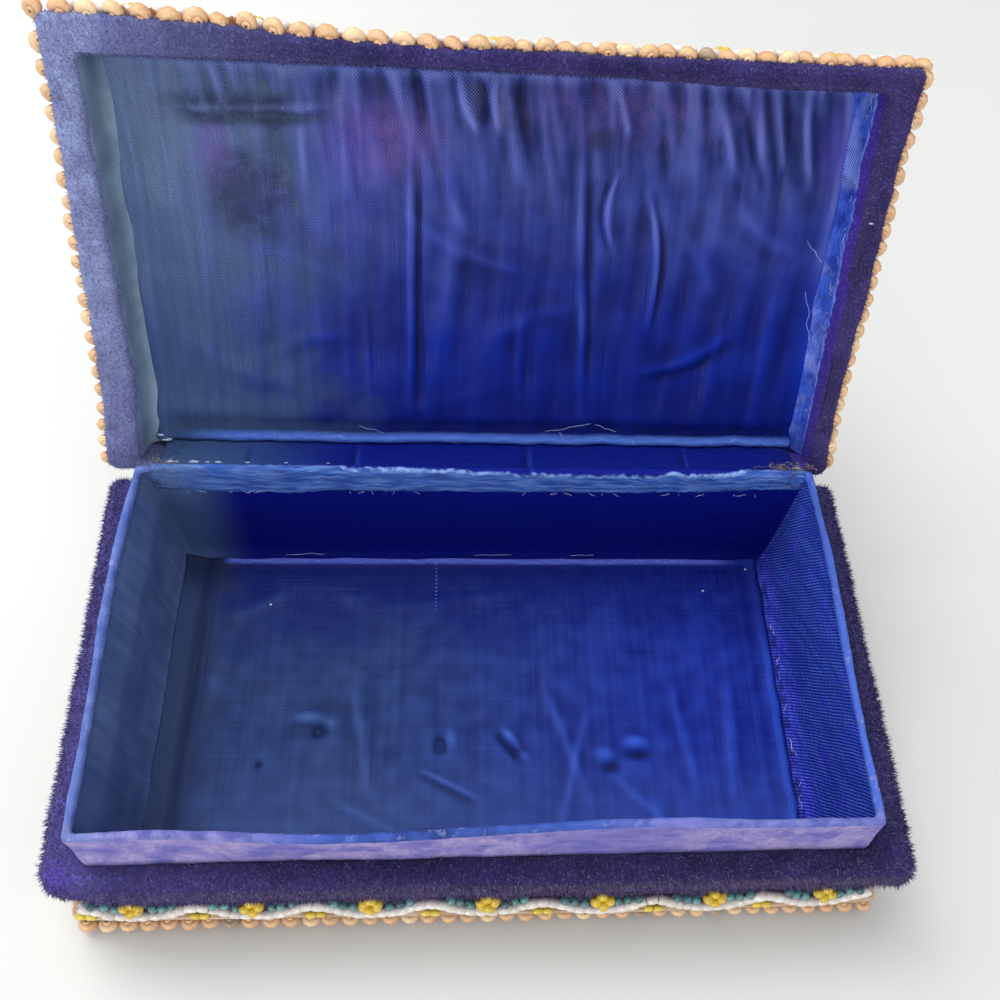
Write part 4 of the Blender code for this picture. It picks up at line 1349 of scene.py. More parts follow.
def tape_path(x):
    """Up the tray's wall, over its rim, across to the lid and up to the lid's lining."""
    ragged = 0.35 * lumps((x, 0, 0), 3, 71) + 0.30 * lumps((x, 0, 0), 0.9, 73)
    rim_back = TRAY_HIGH[1] + 0.4
    rim_in = rim_back - 2 * RIM_ROUND
    low = 0.9 * smooth_step(-x, 30, 40) * (1 - smooth_step(-x, 46, 64))
    low -= 0.4 * smooth_step(x, 28, 40) + 1 * smooth_step(x, 44, 58)
    drop = TAPE_DROP + ragged + low
    wave = 0.20 * lumps((x, 4, 0), 8, 79)
    points = [(rim_in - 0.35 - TAPE_LEAN * drop, RIM_Z - drop),
              (rim_in - 0.35 - TAPE_LEAN * 2.6, RIM_Z - 2.6),
              (rim_in - 0.40, RIM_Z - 0.8),
              (rim_in - 0.10, RIM_Z + 0.05 + wave),
              (rim_in + 0.65, RIM_Z + 0.38 + wave),
              (rim_back - 0.10, RIM_Z + 0.20 + wave),
              (rim_back + 0.55, RIM_Z - 0.9)]
    near = LID_TAPE_HIGH[1]
    puff = 0.25 * lumps((x, 0, 0), 5, 76)
    for y, z in ((near + 0.1, MOUTH_Z - 0.5), (near - 0.2, MOUTH_Z + 0.4),
                 (near - 0.45, MOUTH_Z + 2.2), (near - 0.7 + puff, MOUTH_Z + 4.6),
                 (near - 0.8 - puff, MOUTH_Z + 6.8), (near - 0.9, MOUTH_Z + 8.4)):
        spot = opened(np.array([[x, y, z]]))[0]
        points.append((spot[1], spot[2]))
    last = points.pop(6)
    slack = ((last[0] + points[6][0]) / 2 - 0.2, (last[1] + points[6][1]) / 2 - 0.3)
    points[6:6] = [last, slack]
    return points


def torn_edge(x):
    """Distance from the cloth's lower edge to where its light layer is torn away."""
    at = 5.3 + 1.3 * smooth_step(-x, -18, 24) + 4.6 * smooth_step(-x, 27, 36)
    at += 1.5 * smooth_step(x, 48, 58) - 2 * bell(x, -48, 1.8)
    return at + 0.5 * lumps((x, 0, 0), 4, 75) + 0.35 * lumps((x, 0, 0), 1, 77)


def make_hinge_tape():
    along = np.linspace(-TAPE_HALF, TAPE_HALF, 226)
    rows = [smooth_path(tape_path(x), 4) for x in along]
    count = len(rows[0])
    runs = [np.concatenate([[0], np.cumsum(np.linalg.norm(np.diff(row, axis=0), axis=1))])
            for row in rows]
    torn = [torn_edge(x) for x in along]
    points = []
    above = []
    for k in range(count):
        for x, row, run, edge in zip(along, rows, runs, torn):
            points.append((x, row[k][0], row[k][1]))
            above.append(run[k] - edge)
    wide = len(along)
    faces = []
    uv = []
    for k in range(count - 1):
        for step in range(wide - 1):
            a = k * wide + step
            faces.append((a, a + wide, a + wide + 1, a + 1))
            uv += [(along[step], runs[step][k]), (along[step], runs[step][k + 1]),
                   (along[step + 1], runs[step + 1][k + 1]), (along[step + 1], runs[step + 1][k])]
    made = mesh_piece("hinge_tape", points, faces, [TAPE], None, uv, {"above": above})
    thicken(made, 0.25, 1)
    return roughen(made, ((0.12, 3, 83), (0.06, 0.9, 87)))


# Things that repeat: beads, shells and pile ---------------------------------------------

BARREL = ((0.17, 0.40), (0.30, 0.50), (0.45, 0.38), (0.50, 0.0), (0.45, -0.38), (0.30, -0.50),
          (0.17, -0.40))
BALL = ((0.13, 0.42), (0.24, 0.46), (0.43, 0.27), (0.50, 0.0), (0.43, -0.27), (0.24, -0.46),
        (0.13, -0.42))


def bead_shape(profile, wide, high, around=8):
    """A bead turned from half a profile, its hole along Z, closed inside the hole."""
    points = []
    hollow = []
    count = len(profile)
    for turn in range(around):
        angle = math.tau * turn / around
        for k, (reach, up) in enumerate(profile):
            points.append((wide * reach * math.cos(angle), wide * reach * math.sin(angle),
                           high * up))
            # hollow marks the hole's rim for painted shade
            hollow.append(1.0 if k in (0, count - 1) else 0.0)
    return np.array(points), band_faces(around, count, True), {"hollow": np.array(hollow)}


SHELL_TURNS = 2.25


def shell_shape(sides=6):
    """A small snail shell one unit across: a swelling whorl that winds down from its tip."""
    early = np.linspace(0.0, SHELL_TURNS - 1.0, 8)
    stations = np.concatenate([early, np.linspace(SHELL_TURNS - 1.0, SHELL_TURNS, 11)[1:]])
    points = []
    marks = {"seam": [], "mouth": [], "growth": [], "shoulder": []}

    def add(point, seam, mouth, growth, shoulder):
        points.append(tuple(point))
        for key, value in zip(marks, (seam, mouth, growth, shoulder)):
            marks[key].append(value)

    for turns in stations:
        share = turns / SHELL_TURNS
        grown = math.exp(1.75 * (share - 1.0))
        angle = math.tau * turns
        hub = 0.27 * grown
        tube = 0.235 * grown
        lift = 0.42 * (1.0 - grown)
        for side in range(sides):
            bend = math.tau * side / sides
            reach = hub + tube * math.cos(bend)
            add((reach * math.cos(angle), reach * math.sin(angle),
                 lift + 1.15 * tube * math.sin(bend)),
                max(0.0, -math.cos(bend)), 0.0, share, max(0.0, math.sin(bend + 0.4)))
    faces = []
    steps = len(stations) - 1
    for step in range(steps):
        for side in range(sides):
            ahead = (side + 1) % sides
            faces.append((step * sides + side, (step + 1) * sides + side,
                          (step + 1) * sides + ahead, step * sides + ahead))
    faces.append(tuple(range(sides)))
    rim = steps * sides
    first = len(points)
    edge = np.array(points[rim:rim + sides])
    hub = edge.mean(0)
    # the cap over the mouth carries the mouth mark for its painted shade
    for point in edge:
        add(hub + (point - hub) * 0.72, 0.0, 0.8, 1.0, 0.0)
    for side in range(sides):
        ahead = (side + 1) % sides
        faces.append((rim + side, first + side, first + ahead, rim + ahead))
    faces.append(tuple(first + side for side in range(sides - 1, -1, -1)))
    return np.array(points), faces, {key: np.array(value) for key, value in marks.items()}


def turned(points, angles):
    """Points turned about X, then Y, then Z, by angles in degrees."""
    out = np.array(points, float)
    for axis, angle in enumerate(angles):
        a, b = (axis + 1) % 3, (axis + 2) % 3
        c, s = math.cos(math.radians(angle)), math.sin(math.radians(angle))
        first, second = out[:, a].copy(), out[:, b].copy()
        out[:, a] = first * c - second * s
        out[:, b] = first * s + second * c
    return out


def flower_shape(bead=1.8):
    """Four yellow beads sewn in a cross, as one shape in millimetres, facing along Z."""
    points = []
    faces = []
    hollow = []
    for quarter, reach in enumerate((1.12, 0.92, 1.12, 0.92)):
        shape, around, marks = bead_shape(BALL, bead, bead * 0.95)
        shape = turned(shape, (90.0, 0.0, 25.0 + 90.0 * quarter))
        turn = math.radians(90.0 * quarter)
        shift = np.array([math.cos(turn), math.sin(turn), 0.0]) * reach
        first = sum(len(p) for p in points)
        points.append(shape + shift)
        faces += [tuple(first + i for i in face) for face in around]
        hollow.append(marks["hollow"])
    return np.concatenate(points), faces, {"hollow": np.concatenate(hollow)}


def prototype(name, shape):
    """A shape to copy, left out of the scene."""
    points, faces, marks = shape
    mesh = bpy.data.meshes.new(name)
    mesh.from_pydata((points * TO_METRES).tolist(), [], faces)
    for key, values in marks.items():
        mark = mesh.attributes.new(key, "FLOAT", "POINT")
        mark.data.foreach_set("value", np.asarray(values, np.float32))
    mesh.shade_smooth()
    return bpy.data.objects.new(name, mesh)


def new_tree(name, sockets):
    """A Geometry Nodes tree with named inputs, and its input node."""
    tree = bpy.data.node_groups.new(name, "GeometryNodeTree")
    tree.interface.new_socket("Geometry", in_out="INPUT", socket_type="NodeSocketGeometry")
    for key, kind in sockets.items():
        tree.interface.new_socket(key, in_out="INPUT", socket_type=f"NodeSocket{kind}")
    tree.interface.new_socket("Geometry", in_out="OUTPUT", socket_type="NodeSocketGeometry")
    bench = Bench(tree)
    return bench, bench.node("NodeGroupInput").outputs


def finish_tree(bench, inputs, instances, seed_shift):
    """Give each copy its own tone, make the copies real, and set their finish."""
    tone = random_number(bench, 0.0, 1.0, Number(bench, inputs["Seed"]) + seed_shift)
    stored = bench.node("GeometryNodeStoreNamedAttribute",
                        {"data_type": "FLOAT", "domain": "INSTANCE"},
                        {"Geometry": instances, "Name": "tone", "Value": tone})
    real = bench.node("GeometryNodeRealizeInstances", None, {"Geometry": stored.outputs[0]})
    painted = bench.node("GeometryNodeSetMaterial", None,
                         {"Geometry": real.outputs[0], "Material": inputs["Finish"]})
    bench.node("NodeGroupOutput", None, {"Geometry": painted.outputs[0]})


def random_vector(bench, inputs, reach, shift):
    """A random vector with each part between -reach and reach."""
    made = bench.node("FunctionNodeRandomValue", {"data_type": "FLOAT_VECTOR"},
                      {"Min": (-1.0, -1.0, -1.0), "Max": (1.0, 1.0, 1.0),
                       "Seed": Number(bench, inputs["Seed"]) + shift})
    scaled = bench.node("ShaderNodeVectorMath", {"operation": "SCALE"},
                        {0: made.outputs[0], "Scale": reach})
    return scaled.outputs[0]


def random_number(bench, low, high, seed):
    made = bench.node("FunctionNodeRandomValue", {"data_type": "FLOAT"},
                      {2: low, 3: high, "Seed": seed})
    return Number(bench, made.outputs[1])


def vector_sum(bench, first, second):
    made = bench.node("ShaderNodeVectorMath", {"operation": "ADD"}, {0: first, 1: second})
    return made.outputs[0]


def turned_to(bench, way):
    """The rotation that brings Z along a direction."""
    return bench.node("FunctionNodeAlignRotationToVector", {"axis": "Z"},
                      {"Vector": way}).outputs[0]


def row_tree(name, along_string):
    """Copies of a shape set out along a path, threaded on it or facing one way."""
    bench, inputs = new_tree(name, {"Shape": "Object", "Spacing": "Float", "Size": "Float",
                                    "Unevenness": "Float", "Shift": "Float", "Tilt": "Float",
                                    "Facing": "Vector", "Spin": "Float", "Roll": "Float",
                                    "Seed": "Int", "Finish": "Material"})
    path = bench.node("GeometryNodeResampleCurve", {"mode": "LENGTH"},
                      {"Curve": inputs["Geometry"], "Length": inputs["Spacing"]})
    points = bench.node("GeometryNodeCurveToPoints", {"mode": "EVALUATED"},
                        {"Curve": path.outputs[0]})
    moved = bench.node("GeometryNodeSetPosition", None,
                       {"Geometry": points.outputs["Points"],
                        "Offset": random_vector(bench, inputs, inputs["Shift"], 11)})
    aim = points.outputs["Tangent"] if along_string else inputs["Facing"]
    aimed = vector_sum(bench, aim, random_vector(bench, inputs, inputs["Tilt"], 23))
    spread = random_number(bench, -1.0, 1.0, inputs["Seed"])
    size = (spread * inputs["Unevenness"] + 1.0) * inputs["Size"]
    shape = bench.node("GeometryNodeObjectInfo", None, {"Object": inputs["Shape"]})
    copies = bench.node("GeometryNodeInstanceOnPoints", None,
                        {"Points": moved.outputs[0], "Instance": shape.outputs["Geometry"],
                         "Rotation": turned_to(bench, aimed), "Scale": size})
    swirl = random_number(bench, -math.pi, math.pi, inputs["Seed"])
    about = swirl * inputs["Spin"] + inputs["Roll"]
    angles = bench.node("ShaderNodeCombineXYZ", None, {2: about})
    spun = bench.node("GeometryNodeRotateInstances", None,
                      {"Instances": copies.outputs[0], "Rotation": angles.outputs[0]})
    finish_tree(bench, inputs, spun.outputs[0], 37)
    return bench.tree


def pile_tree():
    """Short leaning hairs grown from every face that carries pile."""
    bench, inputs = new_tree("Velvet pile", {"Where": "String", "Density": "Float",
                                             "Length": "Float", "Width": "Float",
                                             "Lean": "Vector",
                                             "Wildness": "Float", "Seed": "Int",
                                             "Finish": "Material"})
    cover = bench.node("GeometryNodeInputNamedAttribute", {"data_type": "FLOAT"},
                       {"Name": inputs["Where"]})
    dense = Number(bench, cover.outputs["Attribute"]) * inputs["Density"]
    spread = bench.node("GeometryNodeDistributePointsOnFaces", None,
                        {"Mesh": inputs["Geometry"], "Density": dense, "Seed": inputs["Seed"]})
    lean = vector_sum(bench, spread.outputs["Normal"], inputs["Lean"])
    stray = vector_sum(bench, lean, random_vector(bench, inputs, inputs["Wildness"], 5))
    hair = bench.node("GeometryNodeMeshCone", {"fill_type": "NGON"},
                      {"Vertices": 3, "Side Segments": 1, "Fill Segments": 1,
                       "Radius Top": 0.0, "Radius Bottom": 1.0, "Depth": 1.0})
    long = random_number(bench, 0.45, 1.15, inputs["Seed"]) * inputs["Length"]
    size = bench.node("ShaderNodeCombineXYZ", None,
                      {0: inputs["Width"], 1: inputs["Width"], 2: long})
    copies = bench.node("GeometryNodeInstanceOnPoints", None,
                        {"Points": spread.outputs["Points"],
                         "Instance": hair.outputs["Mesh"],
                         "Rotation": turned_to(bench, stray), "Scale": size.outputs[0]})
    finish_tree(bench, inputs, copies.outputs[0], 41)
    return bench.tree


def grown(name, source, tree, **values):
    """The plain mesh that a tree makes from an object, as a new piece."""
    added = source.modifiers.new("grow", "NODES")
    added.node_group = tree
    for item in tree.interface.items_tree:
        if item.in_out == "INPUT" and item.name in values:
            added[item.identifier] = values[item.name]
    bpy.context.view_layer.update()
    mesh = evaluated(source)
    source.modifiers.remove(added)
    mesh.name = name
    return new_object(name, mesh)


def path_object(name, lines):
    """A curve through each line of points, given in millimetres."""
    curve = bpy.data.curves.new(name, "CURVE")
    curve.dimensions = "3D"
    for line in lines:
        spline = curve.splines.new("POLY")
        spline.points.add(len(line) - 1)
        for point, spot in zip(spline.points, line):
            point.co = (*(np.asarray(spot) * TO_METRES), 1.0)
    return new_object(name, curve)


STRING_TREE = row_tree("Beads on a string", along_string=True)
ROW_TREE = row_tree("Shells in a row", along_string=False)
PILE_TREE = pile_tree()
BEAD = prototype("bead", bead_shape(BARREL, 0.82, 1.0))
TEAL_BEAD = prototype("round_bead", bead_shape(BALL, 1.0, 0.92))
SNAIL = prototype("snail", shell_shape())
FLOWER = prototype("flower", flower_shape())


def strung(name, lines, shape, finish, spacing, size, seed, uneven=0.05, shift=0.05, tilt=0.10):
    path = path_object("string", lines)
    made = grown(name, path, STRING_TREE, Shape=shape, Spacing=spacing * TO_METRES, Size=size,
                 Unevenness=uneven, Shift=shift * TO_METRES, Tilt=tilt, Spin=1.0, Seed=seed,
                 Finish=finish)
    bpy.data.objects.remove(path)
    return made


def row_of(name, lines, shape, finish, facing, spacing, size, seed, uneven=0.06, shift=0.10,
           tilt=0.2, spin=0.1, roll=0.0):
    path = path_object("row", lines)
    made = grown(name, path, ROW_TREE, Shape=shape, Spacing=spacing * TO_METRES, Size=size,
                 Unevenness=uneven, Shift=shift * TO_METRES, Tilt=tilt, Facing=facing,
                 Spin=spin, Roll=math.radians(roll), Seed=seed, Finish=finish)
    bpy.data.objects.remove(path)
    return made


def joined(name, parts):
    """Several meshes as one piece."""
    bpy.ops.object.select_all(action="DESELECT")
    for part in parts:
        part.select_set(True)
    bpy.context.view_layer.objects.active = parts[0]
    if len(parts) > 1:
        bpy.ops.object.join()
    made = parts[0]
    made.name = name
    made.data.name = name
    return made


def pile_on(name, source, where, density, length, width, lean, seed, finish, wild=0.5):
    return grown(name, source, PILE_TREE, Where=where, Density=density * 1e6,
                 Length=length * TO_METRES, Width=width * TO_METRES, Lean=lean, Wildness=wild,
                 Seed=seed, Finish=finish)


# Bead and shell rows on the base ----------------------------------------------------------

BEAD_STEP = 2.16
VALLEY_Z = 6.4
PEAK_Z = 10.8
WAVES_FRONT = 7
WAVES_SIDE = 4
WALL_X = WALLS_HIGH[0] - LIP_OUT_X
WALL_Y = WALLS_HIGH[1] - LIP_OUT_Y
STRING_OUT = 1.0


def wave_line(at, end, waves, low, rise, steps=24):
    """Points of a string that waves along one wall; at(run, z) places them."""
    line = []
    for step in range(waves * steps + 1):
        share = step / (waves * steps)
        lift = (0.5 + 0.5 * math.cos(math.tau * waves * share)) ** 1.7
        line.append(at(end * (2.0 * share - 1.0), low + rise * lift))
    return line


def on_front(run, z, out=0.0):
    """On the front wall, just over the edge of the ledge and leaning back with height."""
    lean = 0.25 + 0.35 * (z - VALLEY_Z) / (PEAK_Z - VALLEY_Z)
    return run, LEDGE_LOW[1] + float(front_bow(run)) + lean - out, z


def on_side(side):
    def at(run, z, out=0.0):
        return side * (WALL_X + STRING_OUT + out), run, z
    return at


def base_walls_sides():
    """The three decorated walls: how to place a point, half run, waves and facing."""
    yield on_front, WALL_X - 1.0, WAVES_FRONT, (0, -1, 0)
    yield on_side(-1.0), WALL_Y - 1.0, WAVES_SIDE, (-1, 0, 0)
    yield on_side(1.0), WALL_Y - 1.0, WAVES_SIDE, (1, 0, 0)


def make_base_beads():
    """White strings, teal beads by each flower and yellow tube beads under each peak."""
    white, teal, tube, flowers = [], [], [], []
    seed = 1
    for at, end, waves, facing in base_walls_sides():
        seed += 1
        white.append(wave_line(at, end, waves, VALLEY_Z, PEAK_Z - VALLEY_Z)[2:-2])
        wave = 2.0 * end / waves
        for index in range(waves):
            middle = -end + wave * (index + 0.5)
            flowers.append((at, middle, facing, seed + index))
            for side in (-1.0, 1.0):
                near = at(middle + side * 3.1, 11.5, 0.35)
                far = at(middle + side * 6.6, 12.7, 0.2)
                teal.append([near, far])
            peak = -end + wave * (index + 1.0)
            if index < waves - 1:
                tube.append([at(peak - 0.9, VALLEY_Z - 0.2), at(peak + 0.9, VALLEY_Z - 0.2)])
    tube.append([on_front(-WALL_X + 0.8, VALLEY_Z - 0.2), on_front(-WALL_X + 2.6, VALLEY_Z - 0.2)])
    made = [strung("white_beads_base", white, BEAD, WHITE, 2.0, 2.35, 4, uneven=0.12),
            strung("teal_beads_base", teal, TEAL_BEAD, TEAL, 1.78, 1.75, 6, shift=0.2, tilt=0.4),
            strung("tube_beads_base", tube, BEAD, TUBE, 1.8, 1.8, 8, tilt=0.08)]
    parts = []
    for at, middle, facing, number in flowers:
        spot = at(middle, 13.3, 0.85)
        step = 0.01 * np.array([facing[1], facing[0], 0.0])
        tilted = (0.8 * facing[0], 0.8 * facing[1], 0.6)
        parts.append(row_of("flower", [[spot - step, spot + step]], FLOWER, YELLOW, tilted,
                            1.0, 1.08, number, 0.05, 0.12, 0.08, 0.14))
    made.append(joined("yellow_beads_base", parts))
    return made


SHELL_SIZE = 5.0
SHELL_STEP = 3.5


def make_foot_shells():
    """Shells glued under the ledge all round, tips up and outward."""
    z = 1.6
    out_x = FOOT_HIGH[0] + 1.2
    out_y = FOOT_HIGH[1] + 1.2
    parts = []
    for number, (start, end, facing, roll) in enumerate((
            ((1.5 - out_x, -out_y), (out_x - 1.5, -out_y), (0.0, 0.1, 0.99), 0.0),
            ((out_x - 1.5, out_y), (1.5 - out_x, out_y), (0.0, -0.1, 0.99), 180.0),
            ((-out_x, out_y - 3.4), (-out_x, 3.4 - out_y), (0.1, 0.0, 0.99), -90.0),
            ((out_x, 3.4 - out_y), (out_x, out_y - 3.4), (-0.1, 0.0, 0.99), 90.0))):
        line = [(start[0] + (end[0] - start[0]) * k / 8.0,
                 start[1] + (end[1] - start[1]) * k / 8.0, z) for k in range(9)]
        parts.append(row_of("shells", [line], SNAIL, SHELL, facing, SHELL_STEP, SHELL_SIZE,
                            100 + number, 0.05, 0.06, 0.08, 0.14, roll))
    return joined("foot_shells", parts)


# Bead and shell rows on the lid -----------------------------------------------------------

def turn_open(direction):
    """A direction on the closed lid, as it points with the lid open."""
    start = opened(np.array([[0.0, 0.0, 0.0]]))[0]
    end = opened(np.array([direction]))[0]
    return tuple(end - start)


def lid_line(start, end, z, steps=40):
    """A line along the closed lid's edge, bent with the lid and swung open."""
    share = np.linspace(0.0, 1.0, steps + 1)[:, None]
    flat = np.array(start) * (1.0 - share) + np.array(end) * share
    closed = np.column_stack([flat, np.full(len(flat), z)])
    return opened(lid_bow(closed))


def make_lid_shells():
    """Shells round the lid's edge, larger and wider apart towards its left corner."""
    z = MOUTH_Z + 2.7
    left_x = LID_LOW[0] - 0.1
    right_x = LID_HIGH[0] + 0.3
    out_y = LID_LOW[1] - 0.6
    parts = []
    front = (0.0, 0.5, -0.87)
    for number, (start, end, facing, step, size, roll) in enumerate((
            ((left_x + 0.2, out_y), (-2.0, out_y), front, 4.1, 5.9, 180.0),
            ((1.9, out_y), (right_x - 0.4, out_y), front, 3.35, 5.0, 180.0),
            ((left_x, out_y + 4.0), (left_x, LID_HIGH[1] - 2.4), (0.0, 0.3, -0.95), 3.5, 5.5, 270.0),
            ((right_x, LID_HIGH[1] - 2.4), (right_x, out_y + 3.8), (0.0, 0.3, -0.95), 3.3, 5.3,
             90.0))):
        parts.append(row_of("shells", [lid_line(start, end, z)], SNAIL, SHELL, turn_open(facing),
                            step, size, 200 + number, 0.08, 0.16, 0.30, 0.20, roll))
    return joined("lid_shells", parts)


def make_lid_beads():
    """A low wave of white beads round the lid's sides, with yellow flowers in it."""
    low = MOUTH_Z + 8.7
    lines = []
    flowers = []
    out_x = LID_HIGH[0] - BRIM_OUT + STRING_OUT
    out_y = LID_LOW[1] + BRIM_OUT - STRING_OUT
    sides = ((lambda run, z: (run, out_y, z), LID_HIGH[0] - BRIM_OUT - 1.0, 0.0, WAVES_FRONT,
              (0.0, -1.0, 0.0)),
             (lambda run, z: (-out_x, run, z), 38.0, -0.6, WAVES_SIDE, (-1.0, 0.0, 0.0)),
             (lambda run, z: (out_x, run, z), 38.0, -0.6, WAVES_SIDE, (1.0, 0.0, 0.0)))
    for at, end, shift, waves, facing in sides:
        closed = np.array(wave_line(lambda run, z: at(run + shift, z), end, waves, low, 2.6))
        lines.append(opened(lid_bow(closed)))
        for index in range(waves):
            run = shift - end + 2.0 * end * (index + 0.5) / waves
            flowers.append((on_lid(*at(run, low + 2.9)), turn_open(facing), 300 + index))
    made = [strung("white_beads_lid", lines, BEAD, WHITE, BEAD_STEP, 2.15, 14)]
    parts = []
    for spot, facing, number in flowers:
        step = np.array([0.005, 0.0, 0.0])
        parts.append(row_of("flower", [[spot - step, spot + step]], FLOWER, YELLOW, facing,
                            1.0, 0.85, number, 0.04, 0.1, 0.1, 0.1))
    made.append(joined("yellow_beads_lid", parts))
    return made


# Threads and glue -------------------------------------------------------------------------

def thread_tube(points, radius, sides=4):
    """A thin closed tube along points in millimetres."""
    line = np.array(points, float)
    ways = np.gradient(line, axis=0)
    ways /= np.maximum(np.linalg.norm(ways, axis=1), 1e-9)[:, None]
    verts = []
    for spot, way in zip(line, ways):
        side = np.cross(way, (0.31, 0.22, 0.93))
        side /= max(np.linalg.norm(side), 1e-9)
        other = np.cross(way, side)
        for k in range(sides):
            turn = math.tau * k / sides
            verts.append(spot + radius * (side * math.cos(turn) + other * math.sin(turn)))
    last = (len(line) - 1) * sides
    ends = [tuple(range(sides - 1, -1, -1)), tuple(range(last, last + sides))]
    return np.array(verts), band_faces(len(line), sides) + ends


def thread_line(start, end, sag, seed, steps=12):
    """A loose curl between two points."""
    start, end = np.array(start, float), np.array(end, float)
    length = np.linalg.norm(end - start)
    points = []
    for step in range(steps + 1):
        share = step / steps
        spot = start + (end - start) * share
        curl = np.array([lumps((share * 2.0, 0.0, seed), 0.7, seed),
                         lumps((share * 2.0, 3.0, seed), 0.7, seed + 5.0),
                         lumps((share * 2.0, 6.0, seed), 0.7, seed + 9.0)])
        points.append(spot + curl * length * sag * math.sin(math.pi * share))
    return points


def bundle(name, lines, finish, radius):
    verts, faces = [], []
    first = 0
    for line in lines:
        tube, around = thread_tube(line, radius)
        verts.append(tube)
        faces += [tuple(first + i for i in face) for face in around]
        first += len(tube)
    return mesh_piece(name, np.concatenate(verts), faces, [finish])


def in_lid(x, up, height):
    """A closed-lid point over the lining, this far up from the hinge."""
    return x, HINGE[1] - up, LINING_Z - height


def make_lid_threads():
    """Frayed threads along the right strip, over the lining and at its folded edge."""
    rng = np.random.default_rng(7)
    lines = []
    for k in range(26):
        y = -34.0 + 70.0 * rng.random()
        drop = 4.3 + 0.9 * rng.random()
        start = lid_bow(np.array([[67.2, y, MOUTH_Z + drop]]))[0]
        reach = 0.5 + 1.6 * rng.random() ** 2
        end = start + np.array([-0.7 * rng.random(), rng.normal() * reach, rng.normal() * 0.7])
        lines.append(thread_line(start, end, 0.16, k + 0.5, 8))
    for k in range(10):
        x = -50.0 + 112.0 * rng.random()
        start = np.array(in_lid(x, LINING_NEAR + 1.0 + 1.6 * rng.random(), 2.2))
        end = start + np.array([rng.normal() * 1.8, -0.6 - 1.8 * rng.random() ** 2, -0.3])
        lines.append(thread_line(start, end, 0.28, k + 40.5, 8))
    longer = (((12.5, 7.2), (22.0, 9.2), 80.5), ((23.0, 9.0), (27.5, 7.4), 84.5),
              ((68.4, 57.1), (76.0, 56.1), 81.5), ((-26.0, 8.0), (-21.0, 6.4), 85.5),
              ((60.0, 50.0), (63.6, 46.0), 87.5),
              ((61.5, 40.0), (64.2, 30.0), 88.5))
    for start, end, k in longer:
        height = 2.1 if start[0] < 60.0 else 4.6
        lines.append(thread_line(in_lid(*start, height), in_lid(*end, height), 0.10, k, 18))
    return bundle("lid_threads", [opened(np.array(line)) for line in lines], PALE_THREAD, 0.045)


def make_dark_threads():
    """Brown fuzz at both ends of the hinge cloth."""
    rng = np.random.default_rng(19)
    lines = []
    for k in range(64):
        x = 57.5 + 8.5 * rng.random()
        y = TRAY_HIGH[1] + 0.4 + 1.8 * rng.random()
        z = RIM_Z - 1.2 + 1.2 * rng.random()
        start = np.array([x, y, z])
        end = start + np.array([rng.normal() * 1.4, -1.6 * rng.random(), 0.3 + 1.3 * rng.random()])
        lines.append(thread_line(start, end, 0.3, k + 200.5, 8))
    for k in range(16):
        x = -61.0 - 4.0 * rng.random()
        start = np.array([x, TRAY_HIGH[1] + 0.8 * rng.random(), RIM_Z - 0.4])
        end = start + np.array([rng.normal() * 1.1, 1.0 * rng.random(), 0.4 + 0.9 * rng.random()])
        lines.append(thread_line(start, end, 0.3, k + 300.5, 8))
    return bundle("brown_threads", lines, BROWN_THREAD, 0.07)


def make_tray_threads():
    """Pale threads at the foot of the walls and strays on the hinge cloth's cut edge."""
    rng = np.random.default_rng(11)
    lines = []
    for k in range(14):
        y = -28.0 + 52.0 * rng.random()
        start = (60.9 + 0.3 * rng.random(), y, FLOOR_Z + 0.7 + 0.4 * rng.random())
        end = (61.3 + rng.normal() * 0.4, y + rng.normal() * 1.6, FLOOR_Z + 1.0 + 0.8 * rng.random())
        lines.append(thread_line(start, end, 0.25, k + 100.5, 8))
    for start, end in ((-42.0, -34.0), (-2.0, 6.0), (19.0, 24.0)):
        lines.append(thread_line((start, FLOOR_BACK - 0.1, FLOOR_Z + 1.1),
                                 (end, FLOOR_BACK, FLOOR_Z + 1.3), 0.04, start + 500.5, 16))
    y = TRAY_HIGH[1] - 1.55 - TAPE_LEAN * TAPE_DROP
    for k in range(26):
        x = TAPE_HALF * (2.0 * rng.random() - 1.0)
        start = (x, y - 0.1, RIM_Z - TAPE_DROP + 0.3)
        end = (x + rng.normal() * 0.9, y - 0.15, RIM_Z - TAPE_DROP - 0.2 - 0.5 * rng.random())
        lines.append(thread_line(start, end, 0.2, k + 140.5, 6))
    return bundle("tray_threads", lines, PALE_THREAD, 0.045)


GLUE_SPOTS = ((-61.4, 0.6), (-60.3, 0.3), (-57.1, 0.65), (-54.4, 0.3), (-52.4, 0.45),
              (-46.8, 0.35), (-39.3, 0.25), (-31.2, 0.25), (63.6, 0.5))


def slit_glue():
    return [((x, TRAY_HIGH[1] + 1.0, RIM_Z - 0.1), size) for x, size in GLUE_SPOTS]


def lid_glue():
    spots = []
    for x, up, size in ((70.6, 55.0, 0.35), (-64.0, 4.2, 0.7), (-65.0, 5.2, 0.5)):
        depth = LINING_Z - 2.0 if x < 0.0 else MOUTH_Z - 0.2
        spots.append((on_lid(x, HINGE[1] - up, depth), size))
    return spots


def make_glue(name, places):
    """Dried glue, in the slit along the hinge or at the recess's edges."""
    parts = []
    for place, size in places:
        bpy.ops.mesh.primitive_ico_sphere_add(subdivisions=2, radius=1.0)
        part = bpy.context.object
        for vert in part.data.vertices:
            lump = 1.0 + 0.35 * lumps(vert.co, 0.7, place[0])
            spot = (vert.co.x * size * 1.5 * lump + place[0], vert.co.y * size * 0.5 * lump + place[1],
                    vert.co.z * size * 0.45 * lump + place[2])
            vert.co = [value * TO_METRES for value in spot]
        part.data.materials.append(GLUE)
        part.data.shade_smooth()
        parts.append(part)
    return joined(name, parts)


